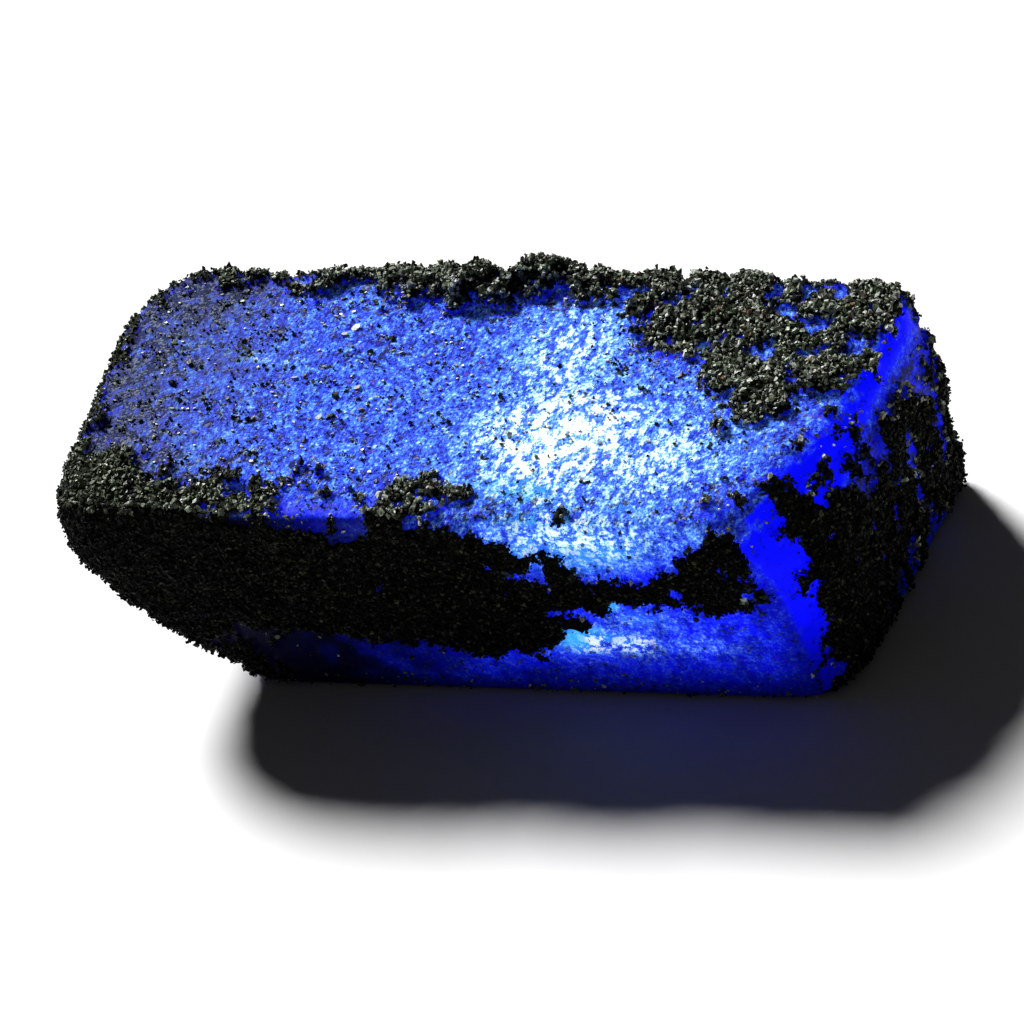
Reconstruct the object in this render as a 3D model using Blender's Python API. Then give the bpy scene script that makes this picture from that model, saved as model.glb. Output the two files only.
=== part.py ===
"""Rough sapphire, 40 mm long: one worn crystal with a thin crust of dark grit on its skin.

The crystal is a block cut by flat facets, with its edges worn round. Its skin is then raised
where the crust lies, by an amount that lumps and hollows vary. It lies along X and rests on
its flat underside. Lengths are millimetres here and metres in the scene.
"""
import math

import bmesh
import bpy
import numpy as np
from mathutils import Vector

MM = 0.001

# Crystal: its height, and each facet's outward direction (azimuth and tilt in degrees) with
# its reach from the crystal's middle
HEIGHT = 11.5
FACETS = {
    "top": (0, 90, HEIGHT / 2),
    "underside": (0, -90, HEIGHT / 2),
    "back": (91, 0, 9.1),
    "front": (273, -5, 8.4),
    "right_end": (-6, 0, 19.35),
    "left_end": (188, 0, 19.35),
    "undercut": (186, -44, 12.0),
    "right_bevel": (-4, 40, 17.75),
    "corner_bevel": (-30, 40, 15.95),
    "front_right_edge": (-43, 2, 17.45),
    "front_left_edge": (235, -3, 17.4),
    "back_left_edge": (147, 0, 20.1),
    "back_right_edge": (42, 8, 20.9),
}
BLANK = 60.0  # side of the cube that the facets are cut from
EDGE_WEAR = 0.5  # how far wear takes the edges back
WEAR_STEPS = 3  # faces across a worn edge
WORN_ABOVE = 0.1  # z above which edges are worn
SKIN_CELL = 0.67  # size of the skin's faces
WAVE = 0.13  # how far the flat faces swell and sink
WAVE_CELL = 6.0  # size of those swells

# Crust: its edge on each side, as points (place along the edge, where the edge is there)
TOP_BACK_EDGE = [(-20, 8.9), (-12, 8.7), (-9, 8.2), (-7.5, 7.7), (-4.5, 7.2), (-2.7, 6.8),
                 (-1.4, 7.2), (1.9, 8.1), (3.8, 8.3), (5.1, 7.6), (5.7, 8.6), (6.1, 6.4),
                 (7.1, 4.6), (8.5, 3.6), (10.2, 2.9), (11.3, 2.0), (12.6, -0.7), (14.3, -1.3),
                 (15.4, -0.4), (17.0, 0.6), (18.3, 1.0), (18.9, 1.4)]  # y by x
TOP_FRONT_EDGE = [(-20, -5.0), (-17.5, -4.9), (-16.1, -5.5), (-13.3, -7.3), (-11, -8.7),
                  (-8.6, -8.6), (-7.2, -9.1), (-6.3, -9.6), (-2.5, -9.6), (-1.8, -8.0),
                  (-1.2, -6.3), (-0.1, -6.5), (1.1, -7.7), (2.2, -8.7), (3.0, -9.8)]  # y by x
TOP_RIGHT_EDGE = 18.9  # x
FRONT_UPPER_EDGE = [(-8.0, 12.0), (-6.3, 11.0), (-4.6, 10.6), (-2.9, 10.4), (-1.5, 12.0),
                    (1.8, 12.0), (2.6, 10.9), (4.3, 10.6), (5.6, 9.9), (6.8, 9.2), (8.5, 8.6),
                    (10.3, 8.1), (11.3, 8.6), (12.0, 9.3), (12.8, 10.6), (13.8, 10.9),
                    (15.0, 10.3), (15.6, 9.2), (15.9, 8.0), (16.4, 6.8), (16.7, 6.2)]  # z by x
FRONT_LOWER_EDGE = [(-20, 0.5), (-15, 2.4), (-13.2, 3.6), (-10.8, 3.4), (-7.8, 3.2),
                    (-5.1, 3.6), (-2.6, 3.4), (1.3, 2.9), (3.2, 2.7), (4.5, 3.0), (5.5, 3.6),
                    (6.2, 4.6), (7.3, 5.3), (8.4, 6.0), (9.9, 6.5), (12.8, 6.1), (15.0, 6.4),
                    (16.6, 7.2), (17.2, 8.2)]  # z by x
RIGHT_END_EDGE = [(-8, 18.4), (-6.4, 17.9), (-6.0, 17.2), (-5.2, 15.9), (-4.4, 16.6),
                  (-3.6, 17.6), (-2.5, 18.5), (0.3, 18.8), (1.5, 18.4)]  # x by y
RIGHT_END_TOP = [(-4, 12.5), (0.3, 11.0), (1.1, 10.4), (2.8, 10.0), (5.4, 9.2), (7.3, 9.0),
                 (9, 8.8)]  # z by y
LEFT_END_EDGE = [(9.0, -18.2), (10.5, -18.8), (11.5, -19.4)]  # x by z
BACK_LOWER_EDGE = [(-20, 4.0), (-8, 6.0), (0, 4.5), (8, 6.5), (20, 3.0)]  # z by x
BACK_RIGHT_EDGE = 18.3  # x
SMALL_PATCHES = (((18.0, -2.6, 10.4), 0.65), ((17.8, -3.4, 10.2), 0.45),
                 ((17.0, -5.3, 10.2), 0.8), ((17.1, -5.9, 9.6), 0.8),
                 ((17.7, -6.0, 8.8), 0.7))  # middle and radius
SIDE_DEPTH = 1.3  # how far in from a side that side's crust is counted
UNDERCUT_DEPTH = 1.8  # and from the undercut
UNDERCUT_LOW = 0.3  # z of the lower edge of the undercut's crust
EDGE_BREAKS = ((1.7, 1.2), (0.75, 0.8))  # cell and size of the breaks in the crust's edge
EDGE_SLOPE = 0.5  # how wide the crust's sloping edge is
END_GAPS_BY_X = (17.5, 18.5)  # the right end's gaps in the crust set in between these
END_GAPS_BY_Y = (-1.5, 4.0)  # and grow from none to their full share between these
END_GAP_CELL = 0.8
END_GAP_STRETCH = (1.0, 1.0, 0.35)  # they run up and down
END_GAP_LEVELS = (0.38, 0.60)  # the noise above which they open, and open fully
END_GAP_DEPTH = 2.4  # how far they cut into the crust's margin

# Crust: how thick it is
THIN = 0.12
LUMP = 0.38
LUMP_CELL = 1.4
LUMP_VARIATION = (0.6, 0.8)  # a lump's least share, and what finer noise adds to it
LEFT_THINNING = 0.7  # how much less it lumps along the top's left edge
LEFT_THINNING_BY_X = (-17.8, -19.2)  # this sets in between these
LEFT_THINNING_BY_Z = (8.0, 10.0)  # and between these
RIDGE_BY_Y = (4.5, 7.5)  # the ridge along the back's top edge rises between these
RIDGE_BY_Z = (9.0, 11.0)  # and between these
RIDGE_BY_MARGIN = (-0.2, 1.1)  # and with the distance from the crust's edge
RIDGE_LUMPS = (0.7, 0.4)  # its even share, and the share that the lumps vary
BACK_RISE = [(-20, 0.0), (-11, 0.0), (-7, 0.35), (-3, 0.8), (-1, 1.15), (0.5, 1.05), (3, 0.7),
             (5.5, 0.2), (8, 0.4), (12, 0.25), (19, 0.1)]  # the ridge's height by x
FOOT = (0.1, 1.2)  # z between which the relief sets in above the flat underside

COLOUR = (0.012, 0.03, 0.62, 1.0)
ROUGHNESS = 0.35
IOR = 1.77


def direction(azimuth, tilt):
    """The unit vector that points this way, in degrees."""
    a, t = math.radians(azimuth), math.radians(tilt)
    return Vector((math.cos(a) * math.cos(t), math.sin(a) * math.cos(t), math.sin(t)))


def cut_crystal():
    """The crystal's flat-faced block, with worn edges, as a bmesh."""
    bm = bmesh.new()
    bmesh.ops.create_cube(bm, size=BLANK)
    middle = Vector((0, 0, HEIGHT / 2))
    bmesh.ops.translate(bm, verts=bm.verts, vec=middle)
    for azimuth, tilt, reach in FACETS.values():
        out = direction(azimuth, tilt)
        geometry = bm.verts[:] + bm.edges[:] + bm.faces[:]
        cut = bmesh.ops.bisect_plane(bm, geom=geometry, dist=1e-4, plane_co=middle + out * reach,
                                     plane_no=out, clear_outer=True)
        rim = [part for part in cut["geom_cut"] if isinstance(part, bmesh.types.BMEdge)]
        bmesh.ops.holes_fill(bm, edges=rim, sides=0)
    worn = [edge for edge in bm.edges if min(v.co.z for v in edge.verts) > WORN_ABOVE]
    bmesh.ops.bevel(bm, geom=worn, offset=EDGE_WEAR, offset_type="OFFSET",
                    segments=WEAR_STEPS, profile=0.5, affect="EDGES", clamp_overlap=True)
    bmesh.ops.recalc_face_normals(bm, faces=bm.faces)
    return bm


def corner_value(corners, seed):
    """A repeatable value from 0 to 1 for each corner of a grid of whole numbers."""
    i = corners.astype(np.int64)
    mixed = i[:, 0] * 73856093 ^ i[:, 1] * 19349663 ^ i[:, 2] * 83492791 ^ seed * 40503
    mixed = (mixed ^ (mixed >> 13)) * 1274126177
    return ((mixed ^ (mixed >> 16)) & 0xFFFF) / 0xFFFF


def noise(points, cell, seed):
    """Smooth noise from 0 to 1 at each point: values at the corners of cells, blended."""
    scaled = points / cell
    low = np.floor(scaled)
    blend = scaled - low
    blend = blend * blend * (3 - 2 * blend)
    total = np.zeros(len(points))
    for corner in np.ndindex(2, 2, 2):
        upper = np.array(corner) == 1
        weight = np.where(upper, blend, 1 - blend).prod(axis=1)
        total += weight * corner_value(low + upper, seed)
    return total


def step(low, high, values):
    """0 below low, 1 above high and a smooth rise between them."""
    t = np.clip((values - low) / (high - low), 0, 1)
    return t * t * (3 - 2 * t)


def along(edge, places):
    """Where an edge is at each of the places along it."""
    at, where = zip(*edge)
    return np.interp(places, at, where)


def crust_margin(points):
    """How far inside the crust's edge each point of the skin is: above 0 is crust."""
    x, y, z = points.T
    near_top = z - (HEIGHT - SIDE_DEPTH)
    near_front = -y - (FACETS["front"][2] - SIDE_DEPTH)
    near_back = y - (FACETS["back"][2] - SIDE_DEPTH)
    azimuth, tilt, reach = FACETS["undercut"]
    from_middle = points - np.array((0, 0, HEIGHT / 2))
    near_undercut = from_middle @ np.array(direction(azimuth, tilt)) - (reach - UNDERCUT_DEPTH)
    patches = [
        np.minimum.reduce([y - along(TOP_BACK_EDGE, x), near_top, TOP_RIGHT_EDGE - x]),
        np.minimum(along(TOP_FRONT_EDGE, x) - y, near_top),
        np.minimum.reduce([along(FRONT_UPPER_EDGE, x) - z, z - along(FRONT_LOWER_EDGE, x),
                           near_front]),
        np.minimum.reduce([z - along(BACK_LOWER_EDGE, x), near_back, BACK_RIGHT_EDGE - x]),
        along(LEFT_END_EDGE, z) - x,
        np.minimum(near_undercut, z - UNDERCUT_LOW),
        np.minimum(x - along(RIGHT_END_EDGE, y), along(RIGHT_END_TOP, y) - z),
    ]
    for middle, radius in SMALL_PATCHES:
        patches.append(radius - np.linalg.norm(points - np.array(middle), axis=1))
    margin = np.maximum.reduce(patches)
    for number, (cell, size) in enumerate(EDGE_BREAKS):
        margin += size * (noise(points, cell, 11 + number) - 0.5)
    streaks = noise(points * np.array(END_GAP_STRETCH), END_GAP_CELL, 21)
    gaps = step(*END_GAPS_BY_X, x) * step(*END_GAPS_BY_Y, y) * step(*END_GAP_LEVELS, streaks)
    return margin - END_GAP_DEPTH * gaps


def crust_height(points):
    """How far the crust stands above the crystal at each point of the skin."""
    x, y, z = points.T
    margin = crust_margin(points)
    cover = step(-EDGE_SLOPE / 2, EDGE_SLOPE / 2, margin)
    least, finer = LUMP_VARIATION
    lumps = noise(points, LUMP_CELL, 31) * (least + finer * noise(points, LUMP_CELL / 2, 32))
    to_left = step(*LEFT_THINNING_BY_X, x) * step(*LEFT_THINNING_BY_Z, z)
    lumps *= 1 - LEFT_THINNING * to_left
    ridge = along(BACK_RISE, x) * step(*RIDGE_BY_Y, y) * step(*RIDGE_BY_Z, z)
    ridge *= step(*RIDGE_BY_MARGIN, margin)
    even, varied = RIDGE_LUMPS
    return cover * (THIN + LUMP * lumps + ridge * (even + varied * lumps))


def raise_skin(mesh):
    """Moves the skin's vertices outwards by the crust's height and by the crystal's swells."""
    places = np.empty(len(mesh.vertices) * 3, np.float32)
    mesh.vertices.foreach_get("co", places)
    points = places.reshape(-1, 3).astype(float) / MM
    outward = np.empty(len(mesh.vertices) * 3, np.float32)
    mesh.vertices.foreach_get("normal", outward)
    swell = WAVE * (2 * noise(points, WAVE_CELL, 41) - 1)
    lift = (crust_height(points) + swell) * step(*FOOT, points[:, 2])
    raised = points + outward.reshape(-1, 3) * lift[:, None]
    raised[points[:, 2] < SKIN_CELL / 4, 2] = 0.0
    mesh.vertices.foreach_set("co", (raised * MM).ravel())
    mesh.update()


def sapphire_material():
    """The crystal's deep blue."""
    material = bpy.data.materials.new("sapphire")
    material.use_nodes = True
    shader = material.node_tree.nodes["Principled BSDF"]
    shader.inputs["Base Color"].default_value = COLOUR
    shader.inputs["Roughness"].default_value = ROUGHNESS
    shader.inputs["Metallic"].default_value = 0.0
    shader.inputs["IOR"].default_value = IOR
    return material


def sapphire():
    """The crystal with its crust: cut, given an even skin, and raised where the crust lies."""
    bm = cut_crystal()
    bmesh.ops.scale(bm, verts=bm.verts, vec=(MM, MM, MM))
    mesh = bpy.data.meshes.new("sapphire")
    bm.to_mesh(mesh)
    bm.free()
    stone = bpy.data.objects.new("sapphire", mesh)
    bpy.context.scene.collection.objects.link(stone)
    skin = stone.modifiers.new("even_skin", "REMESH")
    skin.mode = "VOXEL"
    skin.voxel_size = SKIN_CELL * MM
    skin.use_smooth_shade = True
    evaluated = stone.evaluated_get(bpy.context.evaluated_depsgraph_get())
    stone.data = bpy.data.meshes.new_from_object(evaluated)
    stone.modifiers.clear()
    bpy.data.meshes.remove(mesh)
    stone.data.name = "sapphire"
    raise_skin(stone.data)
    stone.data.materials.clear()
    stone.data.materials.append(sapphire_material())


def main():
    for thing in list(bpy.data.objects):
        bpy.data.objects.remove(thing, do_unlink=True)
    sapphire()


main()
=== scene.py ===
"""Rough sapphire: the looks of a worn, cloudy blue crystal and the dark grit on its skin.

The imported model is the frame. The stone's skin is worked out again here with a far finer
grid, from the same facets and crust edges, and stands for the CAD solid. Grains of grit and
pale flakes lie on it as joined meshes. Lengths are millimetres in the classes and become
metres where a mesh is made.
"""
import logging
import math
from dataclasses import dataclass, field
from enum import Enum

import bpy
import numpy as np
from mathutils import Matrix


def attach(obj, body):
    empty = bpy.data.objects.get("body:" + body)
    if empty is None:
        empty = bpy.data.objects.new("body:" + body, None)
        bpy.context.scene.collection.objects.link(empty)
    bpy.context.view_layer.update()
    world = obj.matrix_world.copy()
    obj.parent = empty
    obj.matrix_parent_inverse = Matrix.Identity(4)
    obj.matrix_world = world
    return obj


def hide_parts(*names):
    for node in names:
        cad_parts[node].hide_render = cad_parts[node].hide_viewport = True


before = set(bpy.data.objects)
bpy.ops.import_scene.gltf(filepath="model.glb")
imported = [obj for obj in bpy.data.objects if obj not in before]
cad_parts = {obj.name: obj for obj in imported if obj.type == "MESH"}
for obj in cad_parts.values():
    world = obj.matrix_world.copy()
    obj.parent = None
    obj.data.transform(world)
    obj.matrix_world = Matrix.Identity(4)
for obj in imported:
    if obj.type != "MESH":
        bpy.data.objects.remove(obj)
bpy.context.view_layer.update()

log = logging.getLogger("rough_sapphire")

MM = 0.001
BODY = "root"
CAD_NODE = "sapphire"
BAKE_MAP = "OFBake"  # the name of a piece's own UV map

Rgb = tuple[float, float, float]
Place = tuple[float, float, float]


# Arithmetic on whole arrays

def corner_value(corners: np.ndarray, seed: int) -> np.ndarray:
    """Gives a repeatable value from 0 to 1 for each corner of a grid of whole numbers.

    The three numbers are multiplied by large primes, joined bit by bit and stirred.

    Args:
        corners: Whole numbers, one row of three for each corner.
        seed: Which of many such patterns to give.

    Returns:
        One value for each row.
    """
    i = corners.astype(np.int64)
    mixed = i[:, 0] * 73856093 ^ i[:, 1] * 19349663 ^ i[:, 2] * 83492791 ^ seed * 40503
    mixed = (mixed ^ (mixed >> 13)) * 1274126177
    return ((mixed ^ (mixed >> 16)) & 0xFFFF) / 0xFFFF


def noise(points: np.ndarray, cell: float, seed: int) -> np.ndarray:
    """Gives smooth noise from 0 to 1 at each point.

    Space is cut into cubes of side cell. Each corner has its own value, and the eight
    values round a point are blended by the smooth step of its place in the cube.

    Args:
        points: Places in millimetres, one row each.
        cell: The cubes' side.
        seed: Which pattern to give.

    Returns:
        One value for each point.
    """
    scaled = points / cell
    low = np.floor(scaled)
    blend = scaled - low
    blend = blend * blend * (3 - 2 * blend)
    total = np.zeros(len(points))
    for corner in np.ndindex(2, 2, 2):
        upper = np.array(corner) == 1
        weight = np.where(upper, blend, 1 - blend).prod(axis=1)
        total += weight * corner_value(low + upper, seed)
    return total


def step(low: float, high: float, values: np.ndarray) -> np.ndarray:
    """Gives 0 below low, 1 above high and a smooth rise between them."""
    t = np.clip((values - low) / (high - low), 0, 1)
    return t * t * (3 - 2 * t)


def turned(count: int, rng: np.random.Generator) -> np.ndarray:
    """Gives random rotation matrices, each from a random unit quaternion.

    Args:
        count: How many.
        rng: The source of the draws.

    Returns:
        An array of count matrices of three by three.
    """
    drawn = rng.normal(size=(4, count))
    w, x, y, z = drawn / np.linalg.norm(drawn, axis=0)
    rows = [
        [1 - 2 * (y * y + z * z), 2 * (x * y - z * w), 2 * (x * z + y * w)],
        [2 * (x * y + z * w), 1 - 2 * (x * x + z * z), 2 * (y * z - x * w)],
        [2 * (x * z - y * w), 2 * (y * z + x * w), 1 - 2 * (x * x + y * y)],
    ]
    return np.array(rows).transpose(2, 0, 1)


def unit(vectors: np.ndarray) -> np.ndarray:
    """Gives each row at length one."""
    return vectors / np.linalg.norm(vectors, axis=1, keepdims=True)


# Form of the crystal and its crust

@dataclass(frozen=True)
class Facet:
    """A flat face: the way it looks out, in degrees, and its reach from the middle."""

    azimuth: float
    tilt: float
    reach: float

    def normal(self) -> np.ndarray:
        """Gives the unit vector that the facet looks along."""
        a, t = math.radians(self.azimuth), math.radians(self.tilt)
        return np.array([math.cos(a) * math.cos(t), math.sin(a) * math.cos(t), math.sin(t)])


@dataclass(frozen=True)
class Edge:
    """A line on the skin: where it is at each of some places along it."""

    points: tuple[tuple[float, float], ...]

    def at(self, places: np.ndarray) -> np.ndarray:
        """Gives where the edge is at these places, straight between its points."""
        along, where = zip(*self.points)
        return np.interp(places, along, where)


@dataclass
class Crystal:
    """The bare crystal: a bar with flat facets whose edges are worn round."""

    height: float = 11.5
    facets: dict[str, Facet] = field(default_factory=lambda: {
        "top": Facet(0, 90, 5.75),
        "underside": Facet(0, -90, 5.75),
        "back": Facet(91, 0, 9.1),
        "front": Facet(273, -5, 8.4),
        "right_end": Facet(-6, 0, 19.35),
        "left_end": Facet(188, 0, 19.35),
        "undercut": Facet(186, -44, 12.0),
        "right_bevel": Facet(-4, 40, 17.75),
        "corner_bevel": Facet(-30, 40, 15.95),
        "front_right_edge": Facet(-43, 2, 17.45),
        "front_left_edge": Facet(235, -3, 17.4),
        "back_left_edge": Facet(147, 0, 20.1),
        "back_right_edge": Facet(42, 8, 20.9),
    })
    crispness: float = 34.0  # a higher power gives sharper edges
    soft_crispness: float = 15.0  # where the pale zone runs over the front edge
    soft_middle: Place = (5.5, -8.6, 11.0)
    soft_size: Place = (7.0, 4.0, 5.0)
    swell: float = 0.13
    swell_cell: float = 6.0
    etching: float = 0.035
    etching_cell: float = 0.45
    foot: tuple[float, float] = (0.1, 1.2)  # z between which the relief sets in

    def middle(self) -> np.ndarray:
        """Gives the point that the facets' reaches are measured from."""
        return np.array([0.0, 0.0, self.height / 2])

    def cast(self, points: np.ndarray) -> tuple[np.ndarray, np.ndarray]:
        """Moves points along rays from the middle until they lie on the crystal.

        On a ray d, each facet gives the share n.d / reach. The crystal's surface is where
        the sum of these shares, each to the power of crispness, is one. The power falls
        in a bell round the front edge's soft part. The outward normal is the sum of the
        facets' normals over their reach, each weighted by its share to one power less.

        Args:
            points: Places on a box round the crystal.

        Returns:
            The places on the crystal, and the outward normals there.
        """
        ray = points - self.middle()
        normals = np.array([facet.normal() for facet in self.facets.values()])
        reaches = np.array([facet.reach for facet in self.facets.values()])
        shares = np.maximum(ray @ normals.T, 0) / reaches
        away = (points - np.array(self.soft_middle)) / np.array(self.soft_size)
        soft = np.exp(-(away ** 2).sum(axis=1))[:, None]
        power = self.crispness + (self.soft_crispness - self.crispness) * soft
        size = (shares ** power).sum(axis=1) ** (1 / power[:, 0])
        pull = (shares / size[:, None]) ** (power - 1) / reaches
        return self.middle() + ray / size[:, None], unit(pull @ normals)

    def relief(self, points: np.ndarray) -> np.ndarray:
        """Gives how far the bare skin swells, sinks and is etched at each point.

        Args:
            points: Places on the crystal.

        Returns:
            Heights above the flat facets.
        """
        swell = self.swell * (2 * noise(points, self.swell_cell, 41) - 1)
        fine = noise(points, self.etching_cell, 42) + noise(points, self.etching_cell / 2, 43)
        return swell + self.etching * (fine - 1)


@dataclass
class Crust:
    """The dark grit that has grown onto the crystal: where it lies and how thick it is."""

    crystal: Crystal
    top_back: Edge = Edge((
        (-20, 8.9), (-12, 8.7), (-9, 8.2), (-7.5, 7.7), (-4.5, 7.2), (-2.7, 6.8),
        (-1.4, 7.2), (1.9, 8.1), (3.8, 8.3), (5.1, 7.6), (5.7, 8.6), (6.1, 6.4),
        (7.1, 4.6), (8.5, 3.6), (10.2, 2.9), (11.3, 2.0), (12.6, -0.7), (14.3, -1.3),
        (15.4, -0.4), (17.0, 0.6), (18.3, 1.0), (18.9, 1.4)))  # y by x
    top_front: Edge = Edge((
        (-20, -5.0), (-17.5, -4.9), (-16.1, -5.5), (-13.3, -7.3), (-11, -8.7), (-8.6, -8.6),
        (-7.2, -9.1), (-6.3, -9.6), (-2.5, -9.6), (-1.8, -8.0), (-1.2, -6.3), (-0.1, -6.5),
        (1.1, -7.7), (2.2, -8.7), (3.0, -9.8)))  # y by x
    front_upper: Edge = Edge((
        (-8.0, 12.0), (-6.3, 11.0), (-4.6, 10.6), (-2.9, 10.4), (-1.5, 12.0), (1.8, 12.0),
        (2.6, 10.9), (4.3, 10.6), (5.6, 9.9), (6.8, 9.2), (8.5, 8.6), (10.3, 8.1),
        (11.3, 8.6), (12.0, 9.3), (12.8, 10.6), (13.8, 10.9), (15.0, 10.3), (15.6, 9.2),
        (15.9, 8.0), (16.4, 6.8), (16.7, 6.2)))  # z by x
    front_lower: Edge = Edge((
        (-20, 0.5), (-15, 2.4), (-13.2, 3.6), (-10.8, 3.4), (-7.8, 3.2), (-5.1, 3.6),
        (-2.6, 3.4), (1.3, 2.9), (3.2, 2.7), (4.5, 3.0), (5.5, 3.6), (6.2, 4.6), (7.3, 5.3),
        (8.4, 6.0), (9.9, 6.5), (12.8, 6.1), (15.0, 6.4), (16.6, 7.2), (17.2, 8.2)))  # z by x
    top_right: float = 18.9  # x
    right_end: Edge = Edge((
        (-8, 18.4), (-6.4, 17.9), (-6.0, 17.2), (-5.2, 15.9), (-4.4, 16.6),
        (-3.6, 17.6), (-2.5, 18.5), (0.3, 18.8), (1.5, 18.4)))  # x by y
    right_end_top: Edge = Edge((
        (-4, 12.5), (0.3, 11.0), (1.1, 10.4), (2.8, 10.0), (5.4, 9.2), (7.3, 9.0),
        (9, 8.8)))  # z by y
    left_end: Edge = Edge(((9.0, -18.2), (10.5, -18.8), (11.5, -19.4)))  # x by z
    blobs: tuple[tuple[Place, float], ...] = (
        ((18.0, -2.6, 10.4), 0.65), ((17.8, -3.4, 10.2), 0.45), ((17.0, -5.3, 10.2), 0.8),
        ((17.1, -5.9, 9.6), 0.8), ((17.7, -6.0, 8.8), 0.7),
    )  # middle and radius of small patches by the right end
    back_lower: Edge = Edge(((-20, 4.0), (-8, 6.0), (0, 4.5), (8, 6.5), (20, 3.0)))  # z by x
    back_right: float = 18.3  # x
    undercut_depth: float = 1.8  # how far in from the undercut its crust is counted
    undercut_low: float = 0.3  # z of that crust's lower edge
    side_depth: float = 1.3  # how far in from a side that side's crust is counted
    breaks: tuple[tuple[float, float], ...] = (
        (1.7, 1.2), (0.75, 1.0), (0.36, 0.9))  # cell and size
    lace: tuple[float, float] = (0.55, 2.4)  # cell and size of the breaks on the top
    top_by_z: tuple[float, float] = (10.6, 11.2)  # the top sets in between these
    top_by_y: tuple[float, float] = (-8.7, -8.2)
    loose_by_x: tuple[float, float] = (4.0, 7.0)  # the top's right part is loose
    loose_by_margin: tuple[float, float] = (4.0, 2.0)
    loose_cell: float = 0.8
    loose_size: float = 4.0
    hole_cell: float = 0.8
    hole_levels: tuple[float, float] = (0.60, 0.78)  # the noise above which holes open
    loose_holes: float = 4.0  # how much deeper they are where the crust is loose
    hole_depth: float = 1.2  # how far holes cut into the crust's margin
    slope: float = 0.5
    end_gaps_by_x: tuple[float, float] = (17.5, 18.5)
    end_gaps_by_y: tuple[float, float] = (-1.5, 4.0)
    end_gap_cell: float = 0.8
    end_gap_stretch: Place = (1.0, 1.0, 0.35)  # they run up and down
    end_gap_levels: tuple[float, float] = (0.38, 0.60)
    end_gap_depth: float = 2.4
    thin: float = 0.12
    lump: float = 0.38
    lump_cell: float = 1.4
    crumb: float = 0.14
    crumb_cell: float = 0.42
    left_thinning: float = 0.7  # how much less the crust lumps along the top's left edge
    left_thinning_by_x: tuple[float, float] = (-17.8, -19.2)
    left_thinning_by_z: tuple[float, float] = (8.0, 10.0)
    ridge_by_y: tuple[float, float] = (4.5, 7.5)  # the back's ridge rises between these
    ridge_by_z: tuple[float, float] = (9.0, 11.0)
    ridge_by_margin: tuple[float, float] = (-0.2, 1.1)
    ridge_lumps: tuple[float, float] = (0.7, 0.4)  # its even share, and what lumps vary
    lump_variation: tuple[float, float] = (0.6, 0.8)  # least share, and the finer noise's
    back_rise: Edge = Edge((
        (-20, 0.0), (-11, 0.0), (-7, 0.35), (-3, 0.8), (-1, 1.15), (0.5, 1.05), (3, 0.7),
        (5.5, 0.2), (8, 0.4), (12, 0.25), (19, 0.1)))  # extra along the back's top edge, by x

    def margin(self, points: np.ndarray) -> np.ndarray:
        """Gives how far inside the crust's edge each point is: above 0 is crust.

        Each side's crust is the smallest of its distances to its edges, and the whole is
        the largest of the sides and blobs. Noise of three sizes breaks its outline, and a
        fourth, the lace, does so on the top. On the right end upright streaks of noise cut
        it into gaps. More noise makes holes. On the top's right part, within a few
        millimetres of the edge, the crust is loose: its noise is strong, its holes deep.

        Args:
            points: Places on the crystal.

        Returns:
            Distances in millimetres.
        """
        x, y, z = points.T
        near_top = z - (self.crystal.height - self.side_depth)
        near_front = -y - (self.crystal.facets["front"].reach - self.side_depth)
        near_back = y - (self.crystal.facets["back"].reach - self.side_depth)
        undercut = self.crystal.facets["undercut"]
        below = (points - self.crystal.middle()) @ undercut.normal() - undercut.reach
        margin = np.maximum.reduce([
            np.minimum.reduce([y - self.top_back.at(x), near_top, self.top_right - x]),
            np.minimum(self.top_front.at(x) - y, near_top),
            np.minimum.reduce([self.front_upper.at(x) - z, z - self.front_lower.at(x),
                               near_front]),
            np.minimum.reduce([z - self.back_lower.at(x), near_back, self.back_right - x]),
            self.left_end.at(z) - x,
            np.minimum(below + self.undercut_depth, z - self.undercut_low),
            np.minimum(x - self.right_end.at(y), self.right_end_top.at(y) - z),
        ])
        for middle, radius in self.blobs:
            away = np.linalg.norm(points - np.array(middle), axis=1)
            margin = np.maximum(margin, radius - away)
        for number, (cell, size) in enumerate(self.breaks):
            margin += size * (noise(points, cell, 11 + number) - 0.5)
        cell, size = self.lace
        on_top = step(*self.top_by_z, z) * step(*self.top_by_y, y)
        loose = on_top * step(*self.loose_by_x, x) * step(*self.loose_by_margin, margin)
        margin += size * (noise(points, cell, 17) - 0.5) * on_top
        streaks = noise(points * np.array(self.end_gap_stretch), self.end_gap_cell, 21)
        gaps = step(*self.end_gaps_by_x, x) * step(*self.end_gaps_by_y, y)
        margin -= self.end_gap_depth * gaps * step(*self.end_gap_levels, streaks)
        margin += self.loose_size * (noise(points, self.loose_cell, 18) - 0.5) * loose
        holes = step(*self.hole_levels, noise(points, self.hole_cell, 23))
        return margin - self.hole_depth * (1 + self.loose_holes * loose) * holes

    def lumps(self, points: np.ndarray) -> np.ndarray:
        """Gives the crust's lumps from 0 to about 1.4: noise whose size other noise varies."""
        least, finer = self.lump_variation
        fine = noise(points, self.lump_cell / 2, 32)
        return noise(points, self.lump_cell, 31) * (least + finer * fine)

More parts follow.
